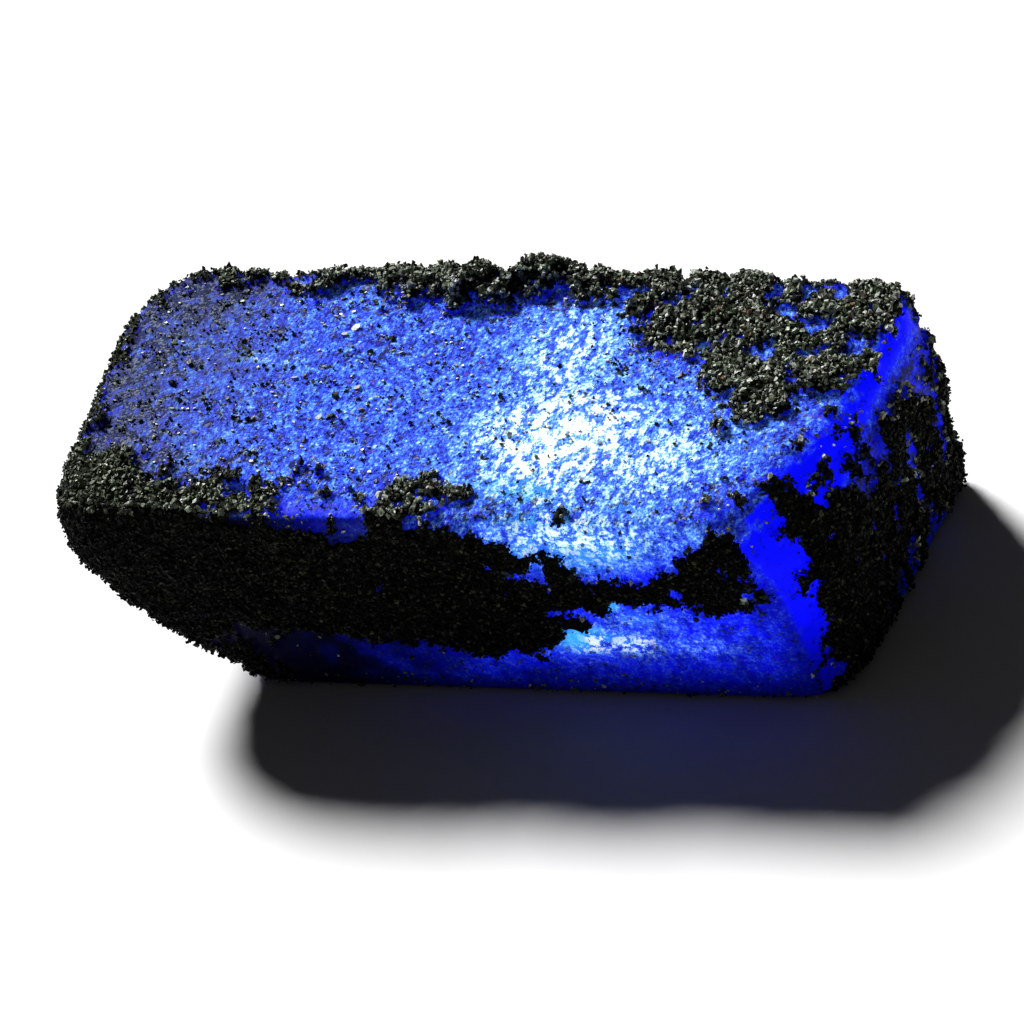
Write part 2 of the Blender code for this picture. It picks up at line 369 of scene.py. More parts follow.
    def height(self, points: np.ndarray) -> np.ndarray:
        """Gives how far the crust stands above the crystal at each point.

        Its cover rises from 0 to 1 over the sloping edge. It multiplies the sum of the thin
        layer, the lumps, which are lower along the top's left edge, the ridge along the
        back's top edge, and small crumbs.

        Args:
            points: Places on the crystal.

        Returns:
            Heights in millimetres.
        """
        x, y, z = points.T
        margin = self.margin(points)
        cover = step(-self.slope / 2, self.slope / 2, margin)
        lumps = self.lumps(points)
        to_left = step(*self.left_thinning_by_x, x) * step(*self.left_thinning_by_z, z)
        lumps *= 1 - self.left_thinning * to_left
        ridge = self.back_rise.at(x) * step(*self.ridge_by_y, y) * step(*self.ridge_by_z, z)
        ridge *= step(*self.ridge_by_margin, margin)
        even, varied = self.ridge_lumps
        crumbs = self.crumb * (noise(points, self.crumb_cell, 33) - 0.5)
        return cover * (self.thin + self.lump * lumps + ridge * (even + varied * lumps) + crumbs)


# Meshes and nodes

def make_mesh(name: str, vertices: np.ndarray, faces: np.ndarray,
              smooth: bool) -> bpy.types.Object:
    """Puts arrays into a new mesh object at the origin, in metres.

    Args:
        name: The piece's name.
        vertices: Places in millimetres.
        faces: Vertex numbers, one row for each face.
        smooth: Whether the faces are shaded smooth.

    Returns:
        The object, linked to the scene.
    """
    mesh = bpy.data.meshes.new(name)
    corners = faces.shape[1]
    mesh.vertices.add(len(vertices))
    mesh.vertices.foreach_set("co", (vertices * MM).astype(np.float32).ravel())
    mesh.loops.add(faces.size)
    mesh.loops.foreach_set("vertex_index", faces.astype(np.int32).ravel())
    mesh.polygons.add(len(faces))
    mesh.polygons.foreach_set("loop_start", np.arange(0, faces.size, corners, dtype=np.int32))
    mesh.polygons.foreach_set("loop_total", np.full(len(faces), corners, np.int32))
    mesh.polygons.foreach_set("use_smooth", np.full(len(faces), smooth))
    mesh.update(calc_edges=True)
    mesh.validate()
    piece = bpy.data.objects.new(name, mesh)
    bpy.context.scene.collection.objects.link(piece)
    return piece


def add_attribute(piece: bpy.types.Object, name: str, values: np.ndarray) -> None:
    """Stores one number for each vertex, under a name that materials read."""
    layer = piece.data.attributes.new(name, "FLOAT", "POINT")
    layer.data.foreach_set("value", values.astype(np.float32))


def add_uv(piece: bpy.types.Object, places: np.ndarray) -> None:
    """Stores a UV map with one place for each corner of each face."""
    layer = piece.data.uv_layers.new(name=BAKE_MAP)
    layer.data.foreach_set("uv", places.astype(np.float32).ravel())


def cell_map(count: int, faces_each: int) -> np.ndarray:
    """Gives each small piece of a joined mesh a square of the UV map, shared by its faces.

    Args:
        count: How many small pieces there are.
        faces_each: How many triangles each has.

    Returns:
        A UV place for each corner of each face.
    """
    side = math.ceil(math.sqrt(count))
    corner = np.array([[0.1, 0.1], [0.9, 0.1], [0.1, 0.9]])
    start = np.stack([np.arange(count) % side, np.arange(count) // side], axis=1)
    places = (start[:, None, None] + corner[None, None]) / side
    return np.broadcast_to(places, (count, faces_each, 3, 2)).reshape(-1, 2)


def belongs(piece: bpy.types.Object) -> None:
    """Lets a finished piece ride on the stone's body."""
    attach(piece, BODY)


class Nodes:
    """A material's or group's node tree, with short ways to add and join nodes."""

    def __init__(self, tree: bpy.types.NodeTree) -> None:
        """Starts on an empty or freshly made tree."""
        self.tree = tree

    def add(self, kind: str, **settings: object) -> bpy.types.Node:
        """Adds a node of this kind and sets its properties."""
        node = self.tree.nodes.new(kind)
        for name, value in settings.items():
            setattr(node, name, value)
        return node

    def feed(self, socket: bpy.types.NodeSocket, value: object) -> None:
        """Joins a socket to another node's output, or sets its value."""
        if isinstance(value, bpy.types.NodeSocket):
            self.tree.links.new(value, socket)
        elif isinstance(value, tuple) and len(value) == 3 and socket.type == "RGBA":
            socket.default_value = (*value, 1.0)
        else:
            socket.default_value = value

    def coordinates(self) -> bpy.types.NodeSocket:
        """Gives the Object coordinates."""
        return self.add("ShaderNodeTexCoord").outputs["Object"]

    def attribute(self, name: str) -> bpy.types.NodeSocket:
        """Gives a number that the mesh stores for each vertex."""
        return self.add("ShaderNodeAttribute", attribute_name=name).outputs["Fac"]

    def math(self, operation: str, a: object, b: object = 0.0,
             clamp: bool = False) -> bpy.types.NodeSocket:
        """Gives the result of one operation on two numbers."""
        node = self.add("ShaderNodeMath", operation=operation, use_clamp=clamp)
        self.feed(node.inputs[0], a)
        self.feed(node.inputs[1], b)
        return node.outputs[0]

    def swing(self, value: object, size: float) -> bpy.types.NodeSocket:
        """Gives a value from 0 to 1 as one of this size round 0."""
        return self.math("MULTIPLY", self.math("SUBTRACT", value, 0.5), size)

    def rise(self, value: object, low: float, high: float,
             to_low: float = 0.0, to_high: float = 1.0) -> bpy.types.NodeSocket:
        """Gives to_low below low, to_high above high, and a smooth rise between them."""
        node = self.add("ShaderNodeMapRange", interpolation_type="SMOOTHSTEP", clamp=True)
        for name, number in zip(("From Min", "From Max", "To Min", "To Max"),
                                (low, high, to_low, to_high)):
            node.inputs[name].default_value = number
        self.feed(node.inputs["Value"], value)
        return node.outputs["Result"]

    def mix(self, share: object, a: object, b: object) -> bpy.types.NodeSocket:
        """Gives the colour that is this share of the way from a to b."""
        node = self.add("ShaderNodeMix", data_type="RGBA")
        self.feed(node.inputs["Factor"], share)
        self.feed(node.inputs[6], a)
        self.feed(node.inputs[7], b)
        return node.outputs[2]

    def noise(self, scale: float, detail: float = 2.0, roughness: float = 0.6,
              stretch: float = 1.0) -> bpy.types.NodeSocket:
        """Gives Blender's noise in Object coordinates, with its scale per millimetre.

        Args:
            scale: How many of its cells there are to a millimetre.
            detail: How many finer layers are added.
            roughness: How strong each finer layer is.
            stretch: How much longer its cells are along Y.

        Returns:
            The noise, from 0 to 1.
        """
        node = self.add("ShaderNodeTexNoise")
        mapping = self.add("ShaderNodeMapping")
        mapping.inputs["Scale"].default_value = (1.0, 1.0 / stretch, 1.0)
        self.feed(mapping.inputs["Vector"], self.coordinates())
        self.feed(node.inputs["Vector"], mapping.outputs["Vector"])
        node.inputs["Scale"].default_value = scale / MM
        node.inputs["Detail"].default_value = detail
        node.inputs["Roughness"].default_value = roughness
        return node.outputs["Fac"]

    def cells(self, scale: float) -> tuple[bpy.types.NodeSocket, bpy.types.NodeSocket]:
        """Gives random cells, with their scale per millimetre.

        Args:
            scale: How many cells there are to a millimetre.

        Returns:
            Each cell's random value, and the distance from its middle.
        """
        node = self.add("ShaderNodeTexVoronoi")
        self.feed(node.inputs["Vector"], self.coordinates())
        node.inputs["Scale"].default_value = scale / MM
        split = self.add("ShaderNodeSeparateColor")
        self.feed(split.inputs[0], node.outputs["Color"])
        return split.outputs[0], node.outputs["Distance"]

    def ramp(self, value: object, stops: tuple[tuple[float, Rgb], ...],
             interpolation: str = "LINEAR") -> bpy.types.NodeSocket:
        """Gives the colour of a ramp with these stops."""
        node = self.add("ShaderNodeValToRGB")
        node.color_ramp.interpolation = interpolation
        elements = node.color_ramp.elements
        while len(elements) < len(stops):
            elements.new(0.5)
        for element, (place, colour) in zip(elements, stops):
            element.position = place
            element.color = (*colour, 1.0)
        self.feed(node.inputs[0], value)
        return node.outputs[0]

    def bump(self, height: object, depth: float, strength: float = 1.0) -> bpy.types.NodeSocket:
        """Gives a normal bent by a height from 0 to 1 that stands for depth millimetres."""
        node = self.add("ShaderNodeBump")
        node.inputs["Strength"].default_value = strength
        node.inputs["Distance"].default_value = depth * MM
        self.feed(node.inputs["Height"], height)
        return node.outputs["Normal"]


def new_material(name: str) -> tuple[bpy.types.Material, Nodes, bpy.types.Node]:
    """Makes a material that uses nodes.

    Args:
        name: The material's name.

    Returns:
        The material, its nodes, and its Principled shader.
    """
    material = bpy.data.materials.new(name)
    material.use_nodes = True
    return material, Nodes(material.node_tree), material.node_tree.nodes["Principled BSDF"]


def sand_grain_group() -> bpy.types.NodeTree:
    """Makes the node group for the grain that the crystal's skin and the grit share.

    It has cells the size of fine sand and a finer noise. Grain is the cells' random value
    softened by the noise, and Height is the noise less the distance from the cell's middle.

    Returns:
        The group, with the input Scale and the outputs Grain and Height.
    """
    if "sand_grain" in bpy.data.node_groups:
        return bpy.data.node_groups["sand_grain"]
    tree = bpy.data.node_groups.new("sand_grain", "ShaderNodeTree")
    tree.interface.new_socket("Scale", in_out="INPUT", socket_type="NodeSocketFloat")
    tree.interface.new_socket("Grain", in_out="OUTPUT", socket_type="NodeSocketFloat")
    tree.interface.new_socket("Height", in_out="OUTPUT", socket_type="NodeSocketFloat")
    nodes = Nodes(tree)
    scale = nodes.add("NodeGroupInput").outputs["Scale"]
    where = nodes.coordinates()
    cells = nodes.add("ShaderNodeTexVoronoi")
    nodes.feed(cells.inputs["Vector"], where)
    nodes.feed(cells.inputs["Scale"], scale)
    fine = nodes.add("ShaderNodeTexNoise")
    nodes.feed(fine.inputs["Vector"], where)
    nodes.feed(fine.inputs["Scale"], nodes.math("MULTIPLY", scale, 1.7))
    split = nodes.add("ShaderNodeSeparateColor")
    nodes.feed(split.inputs[0], cells.outputs["Color"])
    soft = nodes.math("MULTIPLY", nodes.math("SUBTRACT", fine.outputs["Fac"], 0.5), 0.9)
    result = nodes.add("NodeGroupOutput")
    nodes.feed(result.inputs["Grain"], nodes.math("ADD", split.outputs[0], soft, clamp=True))
    nodes.feed(result.inputs["Height"],
               nodes.math("SUBTRACT", fine.outputs["Fac"], cells.outputs["Distance"]))
    return tree


def sand_grain(nodes: Nodes, scale: float) -> tuple[bpy.types.NodeSocket, bpy.types.NodeSocket]:
    """Places the shared grain group in a material.

    Args:
        nodes: The material's nodes.
        scale: How many grains there are to a millimetre.

    Returns:
        The group's Grain and Height outputs.
    """
    node = nodes.add("ShaderNodeGroup", node_tree=sand_grain_group())
    node.inputs["Scale"].default_value = scale / MM
    return node.outputs["Grain"], node.outputs["Height"]


# Finishes

@dataclass(frozen=True)
class SapphireFinish:
    """Cloudy deep blue crystal, frosted on top, with the dark skin of the crust."""

    deep: Rgb = (0.0015, 0.0025, 0.86)
    deep_dark: Rgb = (0.001, 0.0015, 0.10)
    # cyan: the fringe of the painted glow, low down beside the crust
    cyan: Rgb = (0.04, 0.42, 0.95)
    pale: tuple[tuple[float, Rgb], ...] = (
        (0.0, (0.004, 0.005, 0.07)),
        (0.18, (0.012, 0.020, 0.34)),
        (0.38, (0.033, 0.080, 0.82)),
        (0.58, (0.085, 0.28, 0.95)),
        (0.74, (0.32, 0.66, 0.96)),
        (0.88, (0.82, 0.90, 0.95)),
    )  # the frosted skin, from its darkest specks to the middle of the pale zone, whose whitest stops are a painted glow
    pale_from: float = 0.375  # where the frosted skin stands on that scale
    pale_span: float = 0.50  # how far the pale zone, a painted glow, moves it
    dull: Rgb = (0.055, 0.065, 0.20)
    violet: Rgb = (0.16, 0.05, 0.30)
    # painted shade: the colour that darkens the front's left part and the sides
    painted_shade_blue: Rgb = (0.0015, 0.0015, 0.012)
    dust: Rgb = (0.007, 0.010, 0.012)
    dust_pale: Rgb = (0.15, 0.17, 0.22)
    # The crust's skin: darker where it doesn't look up and lighter where it does, a painted light
    # and shade.
    crust: Rgb = (0.0015, 0.0018, 0.0012)
    crust_painted_lit_top: Rgb = (0.012, 0.015, 0.010)
    crust_pale: Rgb = (0.03, 0.034, 0.024)
    smooth_roughness: float = 0.40
    frosted_roughness: float = 0.62
    crust_roughness: float = 0.85
    sheen_level: float = 0.02
    ior: float = 1.77
    grain_scale: float = 8.0  # grains to a millimetre
    relief: float = 0.035  # depth of the grain's bumps
    edge_grain: float = 0.35  # how far the grain breaks the crust's edge
    edge_noise: tuple[float, float] = (2.4, 0.7)  # scale and size of the noise that does so
    edge_width: tuple[float, float] = (-0.06, 0.06)
    lace_scale: float = 2.3
    fine: tuple[float, float] = (5.5, 1.3)  # scale and size of the finer mottle
    stretch: float = 1.6  # how much longer the mottle is along Y
    speckle: float = 0.2
    violet_scale: float = 2.6
    violet_spot: tuple[float, float] = (0.42, 0.22)  # a speck's edge, from its middle
    violet_share: tuple[float, float] = (0.955, 0.965)  # the cells above this are violet
    violet_strength: float = 0.6
    cyan_by_margin: tuple[float, float] = (-3.2, -0.6)
    shade_scale: float = 2.6
    clump_scale: float = 2.4
    clump_dust: float = 0.22  # how much more of the skin the clumps take where dust is 1

    def material(self) -> bpy.types.Material:
        """Builds the material from the skin's margin, frost, haze, zone and light numbers.

        Returns:
            The material.
        """
        material, nodes, shader = new_material("cloudy_sapphire")
        material.cycles.emission_sampling = "NONE"
        grain, height = sand_grain(nodes, self.grain_scale)
        crystal = self.crystal_colour(nodes, grain)
        scale, size = self.edge_noise
        ragged = nodes.math("ADD", nodes.swing(grain, self.edge_grain),
                            nodes.swing(nodes.noise(scale), size))
        edge = nodes.math("ADD", nodes.attribute("margin"), ragged)
        crusted = nodes.rise(edge, *self.edge_width)
        # painted light and shade: the crust's skin is lighter where the skin looks up
        crust = nodes.mix(nodes.attribute("up"), self.crust, self.crust_painted_lit_top)
        crust = nodes.mix(nodes.rise(grain, 0.75, 1.0), crust, self.crust_pale)
        nodes.feed(shader.inputs["Base Color"], nodes.mix(crusted, crystal, crust))
        frost = nodes.attribute("frost")
        rough = nodes.rise(frost, 0.0, 1.0, self.smooth_roughness, self.frosted_roughness)
        varied = nodes.math("ADD", rough, nodes.math("MULTIPLY", grain, 0.08))
        wear = nodes.add("ShaderNodeMix", data_type="FLOAT")
        nodes.feed(wear.inputs["Factor"], crusted)
        nodes.feed(wear.inputs[2], varied)
        nodes.feed(wear.inputs[3], self.crust_roughness)
        nodes.feed(shader.inputs["Roughness"], wear.outputs[0])
        bare = nodes.math("SUBTRACT", 1.0, crusted)
        # painted glow: the light number, on bare skin, feeds emission in the crystal's colour; it
        # stands for light coming through the crystal, and diffuse rays don't see it
        glow = nodes.math("MULTIPLY", bare, nodes.attribute("light"))
        bounced = nodes.add("ShaderNodeLightPath").outputs["Is Diffuse Ray"]
        glow = nodes.math("MULTIPLY", glow, nodes.math("SUBTRACT", 1.0, bounced))
        nodes.feed(shader.inputs["Emission Color"], nodes.mix(glow, (0.0, 0.0, 0.0), crystal))
        shader.inputs["Emission Strength"].default_value = 1.0
        relief = nodes.math("MULTIPLY", height, nodes.rise(frost, 0.0, 1.0, 0.15, 1.0))
        nodes.feed(shader.inputs["Normal"], nodes.bump(relief, self.relief))
        shader.inputs["IOR"].default_value = self.ior
        shader.inputs["Specular IOR Level"].default_value = self.sheen_level
        return material

    def crystal_colour(self, nodes: Nodes,
                       grain: bpy.types.NodeSocket) -> bpy.types.NodeSocket:
        """Mixes the bare crystal's colours.

        The frosted skin takes its colour from one scale of blues, by the pale zone, a painted
        glow that stands for light coming through the crystal, plus the grain, a lace of
        sharp-edged noise and a finer mottle. Haze dulls it and violet specks lie in it, and
        low down beside the crust it turns cyan, the painted glow's fringe. It gives way to
        mottled deep blue where the crystal is worn smooth, a painted shade darkens both on
        the front's left part and the sides, and clumps of dust lie on them.

        Args:
            nodes: The material's nodes.
            grain: The shared grain.

        Returns:
            The colour.
        """
        zone = nodes.attribute("zone")
        lace = nodes.rise(nodes.noise(self.lace_scale, 5.0, 0.75, self.stretch),
                          0.43, 0.57, -0.5, 0.5)
        lace = nodes.math("MULTIPLY", lace, nodes.rise(zone, 0.1, 0.8, 0.26, 0.56))
        lace = nodes.math("MULTIPLY", lace, nodes.rise(nodes.attribute("low"), 0.0, 1.0, 1.0, 1.5))
        scale, size = self.fine
        fine = nodes.swing(nodes.noise(scale, 3.0, 0.75, self.stretch), size)
        mottle = nodes.math("ADD", nodes.math("ADD", lace, fine), nodes.swing(grain, self.speckle))
        # painted glow: the pale zone lifts the frosted skin towards its whitest colours
        level = nodes.math("ADD", nodes.math("MULTIPLY", zone, self.pale_span), self.pale_from)
        frosted = nodes.ramp(nodes.math("ADD", level, mottle, clamp=True), self.pale)
        haze = nodes.math("MULTIPLY", nodes.attribute("haze"), nodes.rise(grain, 0.1, 0.8, 0.5, 1.0))
        frosted = nodes.mix(haze, frosted, self.dull)
        share, distance = nodes.cells(self.violet_scale)
        spot = nodes.rise(distance, *self.violet_spot)
        tinted = nodes.math("MULTIPLY", spot, nodes.rise(share, *self.violet_share))
        frosted = nodes.mix(nodes.math("MULTIPLY", tinted, self.violet_strength),
                            frosted, self.violet)
        # painted glow: low down beside the crust the frosted skin turns cyan, the glow's fringe
        beside = nodes.rise(nodes.attribute("margin"), *self.cyan_by_margin, 0.0, 0.9)
        beside = nodes.math("MULTIPLY", beside, nodes.attribute("low"))
        frosted = nodes.mix(beside, frosted, self.cyan)
        shaded = nodes.rise(nodes.noise(self.shade_scale, 5.0, 0.75), 0.53, 0.65, 0.0, 0.65)
        deep = nodes.mix(shaded, self.deep, self.deep_dark)
        colour = nodes.mix(nodes.attribute("frost"), deep, frosted)
        # painted shade: darker on the front's left part and the sides
        colour = nodes.mix(nodes.attribute("painted_shade"), colour, self.painted_shade_blue)
        clumps = nodes.math("ADD", nodes.noise(self.clump_scale, 4.0, 0.7, self.stretch),
                            nodes.math("MULTIPLY", nodes.attribute("dust"), self.clump_dust))
        pale_dust = nodes.math("MULTIPLY", nodes.rise(grain, 0.55, 0.95), nodes.attribute("frost"))
        dust = nodes.mix(pale_dust, self.dust, self.dust_pale)
        return nodes.mix(nodes.rise(clumps, 0.62, 0.68, 0.0, 0.85), colour, dust)


@dataclass(frozen=True)
class GritFinish:
    """Dark sand grains: most near black, some olive grey, a few pale and a few rusty."""

    name: str
    sheen_level: float
    stops: tuple[tuple[float, Rgb], ...] = (
        (0.0, (0.0012, 0.0014, 0.0010)),
        (0.30, (0.008, 0.010, 0.0065)),
        (0.58, (0.062, 0.080, 0.044)),
        (0.78, (0.18, 0.22, 0.14)),
        (0.90, (0.36, 0.41, 0.33)),
        (0.98, (0.70, 0.74, 0.68)),
        (1.0, (0.22, 0.07, 0.02)),
    )  # a grain's colour by its tone
    roughness: float = 0.45
    grain_scale: float = 9.0
    relief: float = 0.02

    def material(self) -> bpy.types.Material:
        """Builds the material, with each grain's colour from its own random tone.

        Returns:
            The material.
        """
        material, nodes, shader = new_material(self.name)
        grain, height = sand_grain(nodes, self.grain_scale)
        colour = nodes.ramp(nodes.attribute("tone"), self.stops)
        nodes.feed(shader.inputs["Base Color"],
                   nodes.mix(nodes.rise(grain, 0.3, 1.0, 0.0, 0.5), colour, self.stops[0][1]))
        nodes.feed(shader.inputs["Roughness"],
                   nodes.rise(grain, 0.0, 1.0, self.roughness - 0.12, self.roughness + 0.2))
        nodes.feed(shader.inputs["Normal"], nodes.bump(height, self.relief, 0.6))
        shader.inputs["Specular IOR Level"].default_value = self.sheen_level
        return material


@dataclass(frozen=True)
class FlakeFinish:
    """Pale mica-like flakes, white with a blue or cream cast."""

    white: Rgb = (0.50, 0.54, 0.58)
    cream: Rgb = (0.36, 0.33, 0.26)
    roughness: float = 0.28
    grain_scale: float = 7.0
    relief: float = 0.01

    def material(self) -> bpy.types.Material:
        """Builds the material, with each flake between white and cream by its tone.

        Returns:
            The material.
        """
        material, nodes, shader = new_material("pale_flakes")
        grain, height = sand_grain(nodes, self.grain_scale)
        colour = nodes.mix(nodes.attribute("tone"), self.white, self.cream)
        nodes.feed(shader.inputs["Base Color"],
                   nodes.mix(nodes.rise(grain, 0.5, 1.0, 0.0, 0.35), colour, self.cream))
        shader.inputs["Roughness"].default_value = self.roughness
        nodes.feed(shader.inputs["Normal"], nodes.bump(height, self.relief, 0.5))
        return material


@dataclass(frozen=True)
class FloorFinish:
    """The plain pale floor, which isn't part of the object."""

    colour: Rgb = (0.86, 0.86, 0.86)
    shade: Rgb = (0.7, 0.7, 0.7)
    shade_scale: float = 0.4
    most_shade: float = 0.06
    roughness: float = 0.9

    def material(self) -> bpy.types.Material:
        """Builds the material, with a faint mottle in the floor.

        Returns:
            The material.
        """
        material, nodes, shader = new_material("pale_floor")
        mottle = nodes.rise(nodes.noise(self.shade_scale, 4.0), 0.3, 0.7, 0.0, self.most_shade)
        nodes.feed(shader.inputs["Base Color"], nodes.mix(mottle, self.colour, self.shade))
        shader.inputs["Roughness"].default_value = self.roughness
        return material


# Pieces

@dataclass
class StoneSkin:
    """The stone's whole surface, crystal and crust, on a fine grid, in place of the solid."""

    crystal: Crystal
    crust: Crust
    cell: float = 0.2
    box_low: Place = (-21.0, -10.0, 0.0)
    box_high: Place = (21.0, 10.0, 12.0)
    painted_glow_bells: tuple[tuple[Place, Place, float], ...] = (
        ((5.6, -2.6, 11.0), (4.2, 4.2, 3.5), 1.0),
        ((3.9, 3.4, 11.0), (2.3, 4.2, 3.0), 0.62),
        ((9.9, -3.6, 10.5), (4.0, 4.2, 3.0), 0.60),
        ((7.4, -8.6, 10.2), (4.2, 1.6, 2.0), 0.58),
        ((6.7, -8.0, 3.9), (1.5, 3.0, 1.0), 0.85),
        ((8.9, -8.0, 3.6), (1.6, 3.0, 0.8), 0.62),
        ((12.0, -8.0, 3.6), (2.2, 3.0, 0.7), 0.25),
        ((9.6, -8.0, 5.2), (2.4, 3.0, 1.0), 0.25),
        ((8.1, -8.0, 6.3), (0.8, 3.0, 0.6), 0.90),
        ((-12.0, 2.1, 11.5), (0.9, 0.5, 1.0), 0.45),
    )  # the pale zone, a painted glow of light through the crystal: the middle, half sizes and strength of each bell that it is made of
    worn_middle: Place = (-5.0, -8.9, 11.0)  # a part of the front edge that is worn smooth
    worn_size: Place = (4.2, 0.8, 1.3)
    frosted_to: Edge = Edge((
        (-8.5, 15.0), (-6.0, 15.7), (-4.8, 15.9), (-3.4, 16.3), (0.1, 18.0), (8.0, 18.6)))
    front_light: tuple[float, float] = (-3.0, 7.0)  # the front's painted glow grows between these x
    front_light_by_z: tuple[float, float] = (0.3, 4.2)
    right_fade: tuple[float, float] = (17.5, 14.5)  # and dims again between these x
    haze_by_x: tuple[float, float] = (-8.0, -17.0)
    painted_shade_by_x: tuple[float, float] = (3.0, -6.0)
    dust_by_x: tuple[float, float] = (-3.0, -17.0)
    most_dust_by_x: tuple[float, float] = (-13.0, -18.0)
    near_crust: tuple[float, float] = (-3.0, -0.2)  # the margin over which dust grows denser
    rim_by_margin: tuple[float, float] = (-0.8, -0.1)  # a bare rim along the crust's edge
    ragged: float = 0.9  # how far the frosted top's right edge is broken
    ragged_cell: float = 0.5
    low_front_by_z: tuple[float, float] = (11.0, 8.0)
    low_top_by_y: tuple[float, float] = (-5.0, -7.5)
    low_polish: float = 0.88  # how much less frosted the low front is
    corner_by_x: tuple[float, float] = (11.5, 15.0)  # the top's front right corner
    corner_by_y: tuple[float, float] = (-3.5, -7.0)
    # The corner, bevel, zone, rim, top and end lights below set the painted glow: emission that
    # stands for light coming through the crystal.
    corner_light: float = 0.4
    bevel_light_by_z: tuple[float, float] = (1.5, 7.0)
    bevel_light: float = 0.10  # the bevels' least painted glow
    zone_light: float = 0.6
    rim_light: float = 0.45
    rim_light_by_x: tuple[float, float] = (-14.0, -7.0)
    top_light: float = 0.12
    top_light_by_x: tuple[float, float] = (-18.0, -6.0)
    end_light_by_y: tuple[float, float] = (-3.0, 3.0)
    end_light_by_z: tuple[float, float] = (0.0, 6.0)
    end_mottle_cell: float = 0.6
    mottle_cells: tuple[float, float] = (0.7, 0.35)  # of the front's painted glow
    patch_cell: float = 0.9
    patches_by_x: tuple[float, float] = (-9.0, 1.0)
    # painted shade of the front's left part and of the sides
    front_painted_shade: float = 0.985
    side_painted_shade: float = 0.7
    haze_cell: float = 2.2
    haze_by_y: tuple[float, float] = (0.0, -6.0)  # it is thicker towards the front
    haze_most: float = 0.9
    bare: np.ndarray = field(init=False)  # the vertices before the crust raises them
    vertices: np.ndarray = field(init=False)
    normals: np.ndarray = field(init=False)
    faces: np.ndarray = field(init=False)

    def build(self) -> bpy.types.Object:
        """Makes, dresses and places the piece.

        Returns:
            The object.
        """
        grid, self.faces, uv = self.box_grid()
        self.bare, self.normals = self.crystal.cast(grid)
        lift = self.crystal.relief(self.bare) + self.crust.height(self.bare)
        lift *= step(*self.crystal.foot, self.bare[:, 2])
        self.vertices = self.bare + self.normals * lift[:, None]
        self.vertices[:, 2] = np.maximum(self.vertices[:, 2], 0.0)
        piece = make_mesh("stone_skin", self.vertices, self.faces, smooth=True)
        add_uv(piece, uv)
        for name, values in self.looks(self.bare).items():
            add_attribute(piece, name, values)
        piece.data.materials.append(SapphireFinish().material())
        belongs(piece)
        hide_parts(CAD_NODE)
        return piece

    def box_grid(self) -> tuple[np.ndarray, np.ndarray, np.ndarray]:
        """Lays a grid of squares on the six sides of a box, joined along its edges.

        A grid point is numbered by its three tick numbers, so points that two sides share
        come out once. On each side the first axis turned towards the second one points
        out of the box. The UV map sets the sides beside each other at one scale.

        Returns:
            The points, the faces, and a UV place for each corner of each face.
        """
        low, high = np.array(self.box_low), np.array(self.box_high)
        counts = np.ceil((high - low) / self.cell).astype(int)
        ticks = [np.linspace(low[a], high[a], counts[a] + 1) for a in range(3)]
        spans = high - low
        corners = {  # where each side's chart starts, by its axis and direction
            (2, 1): (0.0, 0.0),
            (2, 0): (0.0, spans[1]),
            (1, 0): (0.0, 2 * spans[1]),
            (1, 1): (0.0, 2 * spans[1] + spans[2]),
            (0, 1): (spans[0], 0.0),
            (0, 0): (spans[0], spans[1]),
        }
        sheet = max(spans[0] + spans[1], 2 * (spans[1] + spans[2]))
        keys, quads, uvs = [], [], []
        for (axis, side), (chart_u, chart_v) in corners.items():
            across, up = [other for other in range(3) if other != axis]
            i, j = np.meshgrid(np.arange(counts[across] + 1), np.arange(counts[up] + 1),
                               indexing="ij")
            index = np.zeros((*i.shape, 3), int)
            index[..., across] = i
            index[..., up] = j
            index[..., axis] = counts[axis] * side
            number = np.arange(i.size).reshape(i.shape) + sum(len(k) for k in keys)
            keys.append(index.reshape(-1, 3))
            quad = np.stack([number[:-1, :-1], number[1:, :-1], number[1:, 1:],
                             number[:-1, 1:]], axis=-1).reshape(-1, 4)
            outward = (np.cross(np.eye(3)[across], np.eye(3)[up])[axis] > 0) == (side == 1)
            quads.append(quad if outward else quad[:, ::-1])
            uvs.append(np.stack([chart_u + ticks[across][i] - low[across],
                                 chart_v + ticks[up][j] - low[up]], axis=-1).reshape(-1, 2))
        index = np.concatenate(keys)
        joined, back = np.unique(index, axis=0, return_inverse=True)
        quads = np.concatenate(quads)
        points = np.stack([ticks[a][joined[:, a]] for a in range(3)], axis=1)
        uv = np.concatenate(uvs)[quads] / sheet
        return points, back.ravel()[quads], uv.reshape(-1, 2)

